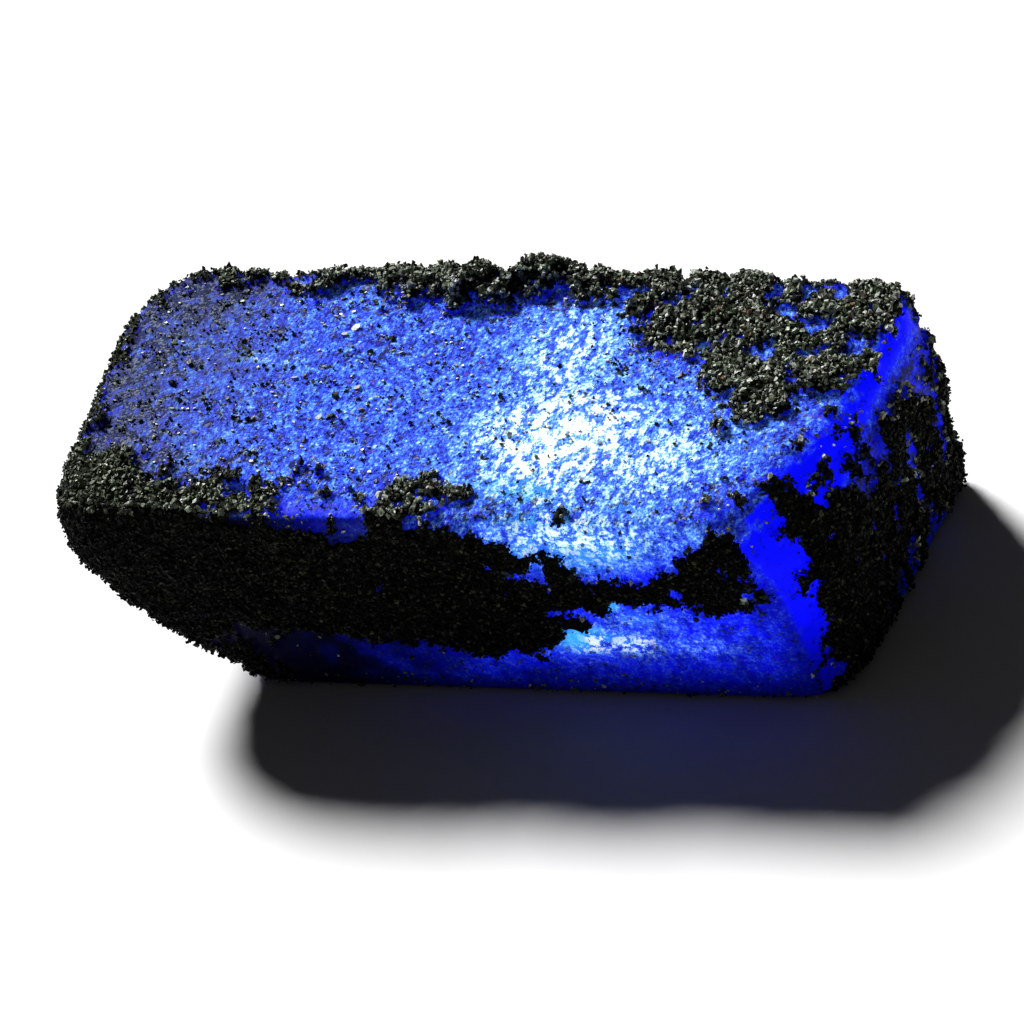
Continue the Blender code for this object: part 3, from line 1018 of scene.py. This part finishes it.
    def looks(self, bare: np.ndarray) -> dict[str, np.ndarray]:
        """Works out the numbers that the finish reads at each vertex.

        margin is the distance inside the crust's edge, and up is 1 where the skin looks up;
        the crust's skin is lighter there and darker elsewhere, a painted light and shade.
        frost is 1 on the top, fades to less than half on the front and is 0 where the skin
        is worn smooth and along the crust's rim. haze is the dull film on the top's left
        part, a painted shade darkens the front's left part and the sides, and dust is the
        share of dark clumps: most beside the crust, to the left and on the right end. zone
        is the pale zone, a painted glow, and low is 1 in its part on the front and beside
        it. light is a painted glow, sent to emission, that stands for light coming through
        the crystal: the largest of the lights of the smooth bevels, the front, the right
        end, the rim, and the top, which is weak because the lamp lights it.

        Args:
            bare: The places on the bare crystal.

        Returns:
            The numbers by name.
        """
        x, y, z = bare.T
        flat = {name: self.normals @ facet.normal()
                for name, facet in self.crystal.facets.items()}
        on_end = np.maximum(
            step(0.85, 0.97, flat["right_end"]),
            step(0.80, 0.95, flat["back_right_edge"]) * step(0.9, 0.6, flat["back"]))
        smooth = self.worn_smooth(bare, flat) * (1 - on_end)
        margin = self.crust.margin(bare)
        up = step(0.35, 0.9, flat["top"])
        rim = self.rim(bare, margin, up)
        zone = self.painted_glow_zone(bare)
        on_front = step(0.3, 0.8, flat["front"])
        low_front = on_front * step(*self.low_front_by_z, z)
        low = np.maximum(low_front, step(*self.low_top_by_y, y) * up) * step(0.1, 0.5, zone)
        corner = step(*self.corner_by_x, x) * step(*self.corner_by_y, y) * up
        patches = self.patches(bare)
        # painted glow: emission that stands for light coming through the crystal
        light = np.maximum.reduce([
            smooth * (step(*self.bevel_light_by_z, z) + self.bevel_light),
            on_front * np.clip(self.front_glow(bare, patches) + self.zone_light * zone, 0, 1),
            on_end * self.end_glow(bare),
            self.rim_light * rim * step(*self.rim_light_by_x, x) * (1 - low_front),
            self.top_light * up * step(*self.top_light_by_x, x) + self.corner_light * corner,
        ])
        # painted shade: the front's left part and the sides that don't look up are darkened
        aside = (1 - up) * (1 - on_front) * (1 - smooth) * (1 - on_end)
        painted_shade = self.front_painted_shade * on_front * step(*self.painted_shade_by_x, x) * (1 - 0.6 * patches)
        haze = step(*self.haze_by_x, x) * up * (0.5 + noise(bare, self.haze_cell, 51))
        haze *= 1 + 0.3 * step(*self.haze_by_y, y)
        dust = 0.15 + up * (0.45 * step(*self.near_crust, margin)
                            + 0.30 * step(*self.dust_by_x, x)
                            + 0.30 * step(*self.most_dust_by_x, x))
        dust += 0.55 * on_end + 0.4 * low
        dust -= 0.6 * step(0.2, 0.6, zone) + 0.3 * rim + 0.3 * smooth
        frost = (1 - smooth) * (1 - self.low_polish * low_front * (1 - zone) ** 2)
        frost *= (1 - rim) * (1 - 0.9 * on_end) * (1 - 0.6 * corner)
        return {
            "margin": margin,
            "frost": frost,
            "painted_shade": np.clip(painted_shade + self.side_painted_shade * aside, 0, 1),
            "haze": self.haze_most * np.clip(haze, 0, 1),
            "dust": np.clip(dust, 0, 1),
            "zone": zone,
            "up": up,
            "low": low,
            "light": light,
        }

    def worn_smooth(self, bare: np.ndarray, flat: dict[str, np.ndarray]) -> np.ndarray:
        """Gives 1 on the bevels right of the frosted top's ragged edge, and 0 elsewhere.

        Args:
            bare: The places on the bare crystal.
            flat: How far the skin there looks along each facet's normal.

        Returns:
            One number for each place.
        """
        x, y, _ = bare.T
        ragged = self.ragged * (noise(bare, self.ragged_cell, 53) - 0.5)
        smooth = step(-0.35, 0.35, x - self.frosted_to.at(y) + ragged)
        smooth *= step(0.96, 0.87, flat["front"]) * step(-0.3, 0.0, flat["top"])
        return smooth * step(0.5, 0.2, flat["back"])

    def rim(self, bare: np.ndarray, margin: np.ndarray, up: np.ndarray) -> np.ndarray:
        """Gives the bare rim along the crust's edge and the worn part of the front edge.

        Args:
            bare: The places on the bare crystal.
            margin: How far inside the crust's edge they are.
            up: 1 where the skin looks up.

        Returns:
            Numbers from 0 to 1, where the worn part is a bell exp(-d^2).
        """
        along_crust = step(*self.rim_by_margin, margin) * np.maximum(up, 0.4)
        worn = (bare - np.array(self.worn_middle)) / np.array(self.worn_size)
        return np.maximum(0.8 * along_crust, np.exp(-(worn ** 2).sum(axis=1)))

    def painted_glow_zone(self, bare: np.ndarray) -> np.ndarray:
        """Gives the largest of the zone's bells exp(-d^2), d in half sizes from its middle."""
        # painted glow: the pale zone stands for light coming through the crystal
        bells = [strength * np.exp(-(((bare - np.array(middle)) / np.array(size)) ** 2).sum(axis=1))
                 for middle, size, strength in self.painted_glow_bells]
        return np.maximum.reduce(bells)

    def patches(self, bare: np.ndarray) -> np.ndarray:
        """Gives the patches of the front that light comes through, from noise."""
        x, _, z = bare.T
        patches = step(0.42, 0.70, noise(bare, self.patch_cell, 52)) * step(*self.patches_by_x, x)
        return patches * step(0.5, 2.0, z + 0.3 * step(-6.0, 3.0, x))

    def front_glow(self, bare: np.ndarray, patches: np.ndarray) -> np.ndarray:
        """Gives the light that comes through the front, mottled by two sizes of noise.

        Args:
            bare: The places on the bare crystal.
            patches: The patches of the front that light comes through.

        Returns:
            One number for each place.
        """
        x, _, z = bare.T
        # painted glow of the front, sent to emission
        glow = 0.03 + 0.97 * step(*self.front_light, x)
        glow *= step(*self.right_fade, x) * step(*self.front_light_by_z, z)
        glow += 0.22 * patches * step(6.0, 1.0, x)
        coarse, fine = self.mottle_cells
        mottle = 0.6 * noise(bare, coarse, 55) + 0.4 * noise(bare, fine, 56)
        return glow * (0.4 + 0.6 * step(0.32, 0.60, mottle))

    def end_glow(self, bare: np.ndarray) -> np.ndarray:
        """Gives the light that comes through the right end, most at its upper back."""
        _, y, z = bare.T
        # painted glow of the right end, sent to emission
        mottle = 0.1 + 0.55 * noise(bare, self.end_mottle_cell, 54)
        return step(*self.end_light_by_y, y) * step(*self.end_light_by_z, z) * mottle


class Cover(Enum):
    """The parts of the stone that grains are strewn on, each of them one piece."""

    TOP = "grit_top"
    BACK = "grit_back"
    FRONT = "grit_front"
    ENDS = "grit_ends"
    SPECKS = "grit_specks"


@dataclass(frozen=True)
class Sand:
    """What the grains of one part are like."""

    ring: int  # points in each ring of a grain, an odd number
    dense: float  # grains to a square millimetre of crust
    radius: float  # the middle value
    spread: float  # how widely the radius varies, as a share of it
    lift: tuple[float, float]  # the least and most that a grain stands out, in its radii
    pile: float  # how far the upper grains stand on the others where the crust is lumpy
    palest: float  # the highest tone, where 1 is a rusty grain
    darkness: float  # a higher power leaves fewer pale grains
    sheen: float  # how strongly the grains shine


@dataclass
class Grit:
    """Grains of dark sand, strewn densely on the crust and in small clusters elsewhere.

    A grain has a pole at each end and two rings of points. Each point's distance from
    the middle and each axis's length are random, and its faces are flat.
    """

    skin: StoneSkin
    crust: Crust
    seed: int = 7
    bare_density: float = 5.0  # of the single grains on the bare left part of the top
    cluster_density: float = 24.0
    bevels_from: float = 15.3  # x from where the grains lie on the bevels
    bevels_to: float = 1.5  # y up to where they do
    middle_strip: float = 5.0  # within this y of the middle, grains count as the top's
    crusted_by_margin: tuple[float, float] = (-0.25, 0.3)  # the crust's grains set in
    crusted_by_z: tuple[float, float] = (0.15, 0.5)
    bare_by_margin: tuple[float, float] = (0.1, -0.3)  # the bare crystal's specks set in
    bare_by_z: tuple[float, float] = (0.05, 0.25)
    clumps_cell: float = 0.7
    left_by_x: tuple[float, float] = (6.0, -14.0)
    fringe_by_margin: tuple[float, float] = (-1.2, -0.1)
    wide_fringe: float = 3.0  # how much denser the fringe is by the loose crust
    wide_by_margin: tuple[float, float] = (-3.0, -0.3)
    wide_by_x: tuple[float, float] = (2.0, 6.0)
    wide_by_y: tuple[float, float] = (-3.0, 1.0)
    foot_by_z: tuple[float, float] = (1.5, 0.4)
    stray_density: float = 0.5  # of the specks that lie anywhere
    fringe_density: float = 12.0  # along the crust's edge
    foot_density: float = 8.0  # along the front's lower edge
    clusters: tuple[tuple[float, float, float], ...] = (
        (-18.4, 6.5, 0.8), (-17.0, 2.5, 0.7), (-19.2, 4.4, 0.9), (-16.1, 4.2, 0.6),
        (-12.7, 0.5, 0.6), (-14.7, -1.2, 0.9), (-16.4, -2.8, 1.1), (-17.2, -3.6, 0.9),
        (-12.9, -5.6, 0.8), (-11.0, -6.5, 0.9), (-11.3, -2.5, 0.7), (-13.1, 2.8, 0.6),
        (-14.1, 6.7, 0.8), (-3.7, 0.3, 0.5), (-5.9, -3.6, 0.7), (2.5, -3.0, 0.7),
        (13.1, -2.3, 0.8), (6.6, 2.8, 0.8), (4.1, 7.7, 0.7), (-0.2, 0.5, 0.45),
        (1.8, 2.1, 0.4), (-2.6, -2.6, 0.6), (13.2, -7.0, 0.6), (-9.0, -5.0, 0.9),
        (-7.5, 6.6, 0.8), (9.6, 1.0, 0.7),
    )  # x, y and radius of the clusters on the bare top
    # The front's and ends' grains have a lower palest tone and a higher darkness than the top's:
    # partly their own colour, partly a painted shade.
    kinds: dict[Cover, Sand] = field(default_factory=lambda: {
        Cover.TOP: Sand(3, 66, 0.096, 0.36, (0.0, 0.5), 0.28, 1.0, 0.52, 0.35),
        Cover.BACK: Sand(3, 42, 0.090, 0.30, (0.0, 0.4), 0.12, 1.0, 1.0, 0.12),
        Cover.FRONT: Sand(3, 42, 0.080, 0.26, (0.0, 0.4), 0.08, 0.55, 3.0, 0.04),
        Cover.ENDS: Sand(3, 36, 0.084, 0.26, (0.0, 0.4), 0.08, 0.62, 2.6, 0.05),
        Cover.SPECKS: Sand(3, 0, 0.072, 0.36, (-0.3, 0.4), 0.0, 1.0, 0.7, 0.3),
    })
    shift: float = 0.1  # how far a grain may lie from the middle of its square of skin
    left_shade: float = 0.2  # how much darker the grains are to the left
    left_shade_by_x: tuple[float, float] = (-5.0, -15.0)
    smallest: float = 0.04
    largest: float = 0.17
    least_z: float = 0.02  # no grain reaches below this
    left_end_by_x: tuple[float, float] = (-16.0, -18.5)
    left_shrink: float = 0.22  # how much smaller the grains are at the stone's left end
    left_sink: float = 0.7  # how much less they pile up there

    def build(self) -> list[bpy.types.Object]:
        """Makes, dresses and places one piece for each part of the stone.

        Returns:
            The objects.
        """
        rng = np.random.default_rng(self.seed)
        middles, normals, areas = self.squares()
        margin = self.crust.margin(self.skin.bare[self.skin.faces].mean(axis=1))
        chance = self.chances(middles, normals, margin)
        pieces = []
        for cover, sand in self.kinds.items():
            expected = chance[cover] * areas
            count = int(expected.sum())
            chosen = rng.choice(len(areas), count, p=expected / expected.sum())
            spots = middles[chosen] + rng.uniform(-self.shift, self.shift, (count, 3))
            vertices, faces = self.grains(sand, spots, normals[chosen], rng)
            piece = make_mesh(cover.value, vertices.reshape(-1, 3), faces, smooth=False)
            # the front's and ends' grains come out darker: partly a painted shade
            tone = sand.palest * rng.uniform(0, 1, count) ** sand.darkness
            tone *= 1 - self.left_shade * step(*self.left_shade_by_x, spots[:, 0])
            add_attribute(piece, "tone", np.repeat(tone, vertices.shape[1]))
            add_uv(piece, cell_map(count, len(faces) // count))
            finish = GritFinish(cover.value, sheen_level=sand.sheen)
            piece.data.materials.append(finish.material())
            belongs(piece)
            pieces.append(piece)
        return pieces

    def squares(self) -> tuple[np.ndarray, np.ndarray, np.ndarray]:
        """Gives each square of the skin's middle, outward normal and area."""
        corners = self.skin.vertices[self.skin.faces]
        cross = np.cross(corners[:, 2] - corners[:, 0], corners[:, 3] - corners[:, 1])
        areas = np.linalg.norm(cross, axis=1) / 2
        return corners.mean(axis=1), cross / (2 * areas[:, None] + 1e-12), areas

    def chances(self, middles: np.ndarray, normals: np.ndarray,
                margin: np.ndarray) -> dict[Cover, np.ndarray]:
        """Gives each part's grains to a square millimetre at each place.

        On the crust the number is even. On the bare crystal it is the sum of single grains,
        more of them to the left, of bells exp(-d^2) round the clusters, and of a fringe
        that thins out from the crust's edge and is wide beside the loose crust. Noise
        breaks all three. A few more lie along the front's foot and anywhere.

        Args:
            middles: Places on the skin.
            normals: The outward normals there.
            margin: How far inside the crust's edge they are.

        Returns:
            The densities by part.
        """
        x, y, z = middles.T
        crusted = step(*self.crusted_by_margin, margin) * step(*self.crusted_by_z, z)
        to_end = (np.abs(normals[:, 0]) > 0.75) | (normals[:, 2] < -0.4)
        to_end |= (x > self.bevels_from) & (y < self.bevels_to) & (normals[:, 2] < 0.93)
        to_front = (normals[:, 1] < -0.5) & (y < -self.middle_strip) & ~to_end
        to_back = (normals[:, 1] > 0.6) & (y > self.middle_strip) & ~to_end
        broken = 0.05 + step(0.50, 0.80, noise(middles, self.clumps_cell, 63))
        left = step(*self.left_by_x, x)
        bells = np.zeros(len(x))
        for cluster_x, cluster_y, radius in self.clusters:
            away = ((x - cluster_x) ** 2 + (y - cluster_y) ** 2) / radius ** 2
            bells = np.maximum(bells, np.exp(-away))
        bare = step(*self.bare_by_margin, margin) * step(*self.bare_by_z, z)
        up = step(0.5, 0.9, normals[:, 2])
        wide = step(*self.wide_by_margin, margin)
        wide *= step(*self.wide_by_x, x) * step(*self.wide_by_y, y)
        fringe = step(*self.fringe_by_margin, margin) ** 2 + self.wide_fringe * wide
        single = self.bare_density * (0.1 + 0.9 * left) * (0.25 + 4.5 * broken) * up
        loose = single + self.cluster_density * bells * (0.3 + broken) * up
        loose += self.fringe_density * fringe * (0.2 + broken) * (0.25 + 0.75 * up)
        loose += self.foot_density * (normals[:, 1] < -0.5) * step(*self.foot_by_z, z)
        shares = {
            Cover.TOP: ~to_end & ~to_front & ~to_back,
            Cover.BACK: to_back,
            Cover.FRONT: to_front,
            Cover.ENDS: to_end,
        }
        chances = {cover: self.kinds[cover].dense * crusted * there
                   for cover, there in shares.items()}
        chances[Cover.SPECKS] = (loose + self.stray_density) * bare
        return chances

    def grains(self, sand: Sand, spots: np.ndarray, outward: np.ndarray,
               rng: np.random.Generator) -> tuple[np.ndarray, np.ndarray]:
        """Works out the grains of one part.

        A grain's radius is the middle value times exp(spread times a normal draw). Its
        points are the plain form times a random share each, times random lengths of its
        axes, turned at random. Its middle is lifted by a share of its radius, and on lumps
        by the pile's height times the square of a draw. At the stone's left end grains
        are smaller and pile up less.

        Args:
            sand: What the grains are like.
            spots: Where they sit.
            outward: The skin's outward normals there.
            rng: The source of the draws.

        Returns:
            The points of each grain, and the triangles' point numbers.
        """
        count = len(spots)
        radius = sand.radius * np.exp(sand.spread * rng.normal(size=count))
        radius = np.clip(radius, self.smallest, self.largest)
        low = step(*self.left_end_by_x, spots[:, 0])
        radius *= 1 - self.left_shrink * low
        lumps = self.crust.lumps(spots) * (1 - self.left_sink * low)
        rise = radius * rng.uniform(*sand.lift, count)
        rise += sand.pile * lumps * rng.uniform(0, 1, count) ** 2
        shape, faces = self.grain_form(sand.ring)
        scatter = rng.uniform(0.55, 1.35, (count, len(shape), 1))
        stretch = rng.uniform(0.6, 1.4, (count, 1, 3))
        local = shape[None] * scatter * stretch * radius[:, None, None]
        placed = np.einsum("nij,nkj->nki", turned(count, rng), local)
        vertices = placed + (spots + outward * rise[:, None])[:, None]
        vertices[..., 2] = np.maximum(vertices[..., 2], self.least_z)
        offsets = (np.arange(count) * len(shape))[:, None, None]
        return vertices, (faces[None] + offsets).reshape(-1, 3)

    def grain_form(self, n: int) -> tuple[np.ndarray, np.ndarray]:
        """Gives a grain before its scatter: two poles and two rings at latitude atan 1/2.

        The upper ring is turned by half a step against the lower one. Faces join each pole
        to its ring and the rings to each other.

        Args:
            n: How many points a ring has, an odd number.

        Returns:
            The points, and the triangles' point numbers.
        """
        turn = np.arange(n) * 2 * math.pi / n
        high = unit(np.stack([np.cos(turn), np.sin(turn), np.full(n, 0.5)], axis=1))
        points = np.concatenate([high, -high, [[0, 0, 1.0], [0, 0, -1.0]]])
        k = np.arange(n)
        after = (k + 1) % n
        under = n + (k + (n + 1) // 2) % n  # the lower point between high points k and k + 1
        next_under = n + (k + (n + 1) // 2 + 1) % n
        top = np.stack([k, after, np.full(n, 2 * n)], axis=1)
        side_down = np.stack([k, under, after], axis=1)
        side_up = np.stack([under, next_under, after], axis=1)
        base = np.stack([next_under, under, np.full(n, 2 * n + 1)], axis=1)
        return points, np.concatenate([top, side_down, side_up, base])


@dataclass
class Flakes:
    """Pale flakes on the top: thin six-sided plates that lie almost flat."""

    skin: StoneSkin
    seed: int = 19
    count: int = 420
    sides: int = 6
    along: tuple[float, float] = (-18.5, 15.0)  # the x that they lie between
    across: tuple[float, float] = (-8.2, 8.0)  # and the y
    sizes: tuple[float, float] = (0.045, 0.12)
    thickness: float = 0.03
    tilt: float = 0.43  # the steepest slope, about 25 degrees
    large: tuple[tuple[float, float, float], ...] = (
        (-7.6, 4.7, 0.30), (-8.0, 4.2, 0.26), (-6.0, 0.4, 0.30), (-7.1, -2.0, 0.26),
        (-9.4, 0.8, 0.20), (-3.7, -1.2, 0.18), (-17.7, -7.4, 0.22), (-13.0, -3.6, 0.2),
    )  # x, y and radius of the ones that stand out

    def build(self) -> bpy.types.Object:
        """Makes, dresses and places the piece.

        Returns:
            The object.
        """
        rng = np.random.default_rng(self.seed)
        spots = np.stack([rng.uniform(*self.along, self.count),
                          rng.uniform(*self.across, self.count)], axis=1)
        keep = noise(np.pad(spots, ((0, 0), (0, 1))), 3.0, 71) + step(9.0, -12.0, spots[:, 0])
        spots = spots[keep > 0.75]
        radius = rng.uniform(*self.sizes, len(spots))
        large = np.array(self.large)
        spots = np.concatenate([large[:, :2], spots])
        radius = np.concatenate([large[:, 2], radius])
        vertices, faces = self.plates(spots, radius, rng)
        piece = make_mesh("pale_flakes", vertices.reshape(-1, 3), faces, smooth=False)
        tone = np.repeat(rng.uniform(0, 1, len(spots)) ** 2, vertices.shape[1])
        add_attribute(piece, "tone", tone)
        add_uv(piece, cell_map(len(spots), len(faces) // len(spots)))
        piece.data.materials.append(FlakeFinish().material())
        belongs(piece)
        return piece

    def plates(self, spots: np.ndarray, radius: np.ndarray,
               rng: np.random.Generator) -> tuple[np.ndarray, np.ndarray]:
        """Works out the plates: an upper and a lower ring of points and a middle in each.

        A ring point's distance from the middle is the radius times a random share, and the
        plate is tilted.

        Args:
            spots: The x and y of each plate.
            radius: The plates' radii.
            rng: The source of the draws.

        Returns:
            The points of each plate, and the triangles' point numbers.
        """
        count, n = len(spots), self.sides
        turn = np.arange(n) * 2 * math.pi / n + rng.uniform(0, 6, (count, 1))
        reach = radius[:, None] * rng.uniform(0.6, 1.1, (count, n))
        thick = np.full((count, n), self.thickness)
        ring = np.stack([reach * np.cos(turn), 0.7 * reach * np.sin(turn), thick], axis=-1)
        under = ring * np.array([1.0, 1.0, -1.0])
        centre = np.array([[[0.0, 0.0, 0.04], [0.0, 0.0, -0.04]]]).repeat(count, axis=0)
        local = np.concatenate([ring, under, centre], axis=1)
        tilt = rng.uniform(-self.tilt, self.tilt, (count, 2))
        local[..., 2] += local[..., 0] * tilt[:, :1] + local[..., 1] * tilt[:, 1:]
        tops = self.height_at(spots) + 0.05
        vertices = local + np.concatenate([spots, tops[:, None]], axis=1)[:, None]
        k, after = np.arange(n), (np.arange(n) + 1) % n
        faces = np.concatenate([
            np.stack([k, after, np.full(n, 2 * n)], axis=1),
            np.stack([n + after, n + k, np.full(n, 2 * n + 1)], axis=1),
            np.stack([k, n + k, after], axis=1),
            np.stack([after, n + k, n + after], axis=1),
        ])
        offsets = (np.arange(count) * (2 * n + 2))[:, None, None]
        return vertices, (faces[None] + offsets).reshape(-1, 3)

    def height_at(self, spots: np.ndarray) -> np.ndarray:
        """Gives the height of the skin's upper side above each spot, at its nearest vertex."""
        top = self.skin.vertices[self.skin.normals[:, 2] > 0.7]
        away = ((top[None, :, :2] - spots[:, None]) ** 2).sum(axis=2)
        return top[away.argmin(axis=1), 2]


@dataclass
class Studio:
    """A plain pale floor, soft light from behind on the left, and the photograph's camera."""

    floor_size: float = 1.6  # metres
    floor_gap: float = 0.02  # how far the floor lies under the stone
    azimuth: float = 28.0
    elevation: float = 38.0
    roll: float = -15.0
    distance: float = 212.0
    lens: float = 150.0
    sensor: float = 36.0
    clip_start: float = 0.01  # metres
    aim: Place = (-2.1, 5.0, 0.0)
    key_azimuth: float = 143.0
    key_elevation: float = 39.5
    key_strength: float = 6.9
    key_angle: float = 16.0
    sky_strength: float = 0.02

    def build(self) -> None:
        """Makes the floor, the lights and the camera."""
        self.add_floor()
        self.add_lights()
        self.add_camera()
        bpy.context.scene.view_settings.view_transform = "Standard"

    def add_floor(self) -> None:
        """Makes the floor, which isn't part of the object."""
        half = self.floor_size / 2 / MM
        corners = np.array([[-half, -half, 0], [half, -half, 0], [half, half, 0], [-half, half, 0]])
        corners = corners - [0, 0, self.floor_gap]
        floor = make_mesh("floor", corners, np.array([[0, 1, 2, 3]]), smooth=False)
        floor.data.materials.append(FloorFinish().material())

    def add_lights(self) -> None:
        """Makes the key light and the even light of the surroundings."""
        lamp = bpy.data.lights.new("key", "SUN")
        lamp.energy = self.key_strength
        lamp.angle = math.radians(self.key_angle)
        key = bpy.data.objects.new("key", lamp)
        towards = Facet(self.key_azimuth, self.key_elevation, 0.0).normal()
        key.matrix_world = self.pose(np.zeros(3), towards)
        bpy.context.scene.collection.objects.link(key)
        world = bpy.data.worlds.new("studio")
        world.use_nodes = True
        sky = world.node_tree.nodes["Background"]
        sky.inputs["Color"].default_value = (1.0, 1.0, 1.0, 1.0)
        sky.inputs["Strength"].default_value = self.sky_strength
        bpy.context.scene.world = world

    def pose(self, place: np.ndarray, back: np.ndarray, roll: float = 0.0) -> Matrix:
        """Gives the matrix of a camera or lamp that looks against back.

        Its right is level, its up is back crossed with right, and both are then rolled.

        Args:
            place: Where it stands, in metres.
            back: The unit vector that points from what it looks at towards it.
            roll: How far it is turned round that vector, in degrees.

        Returns:
            The matrix.
        """
        right = unit(np.cross([[0.0, 0.0, 1.0]], [back]))[0]
        up = np.cross(back, right)
        turn = math.radians(roll)
        rolled = right * math.cos(turn) + up * math.sin(turn)
        raised = -right * math.sin(turn) + up * math.cos(turn)
        matrix = np.eye(4)
        matrix[:3, 0], matrix[:3, 1], matrix[:3, 2], matrix[:3, 3] = rolled, raised, back, place
        return Matrix(matrix.tolist())

    def add_camera(self) -> None:
        """Makes the camera at the photograph's angle."""
        a, e = math.radians(self.azimuth), math.radians(self.elevation)
        back = np.array([math.sin(a) * math.cos(e), -math.cos(a) * math.cos(e), math.sin(e)])
        lens = bpy.data.cameras.new("camera")
        lens.lens = self.lens
        lens.sensor_width = self.sensor
        lens.clip_start = self.clip_start
        camera = bpy.data.objects.new("camera", lens)
        place = (np.array(self.aim) + back * self.distance) * MM
        camera.matrix_world = self.pose(place, back, self.roll)
        bpy.context.scene.collection.objects.link(camera)
        bpy.context.scene.camera = camera


def report(piece: bpy.types.Object) -> None:
    """Logs a piece's name and how many faces it has."""
    log.info("%s: %d faces", piece.name, len(piece.data.polygons))


def main() -> None:
    """Builds the studio and the stone's pieces in order."""
    logging.basicConfig(level=logging.INFO, format="%(message)s")
    Studio().build()
    crystal = Crystal()
    crust = Crust(crystal)
    skin = StoneSkin(crystal, crust)
    report(skin.build())
    for piece in Grit(skin, crust).build():
        report(piece)
    report(Flakes(skin).build())


if __name__ == "__main__":
    main()
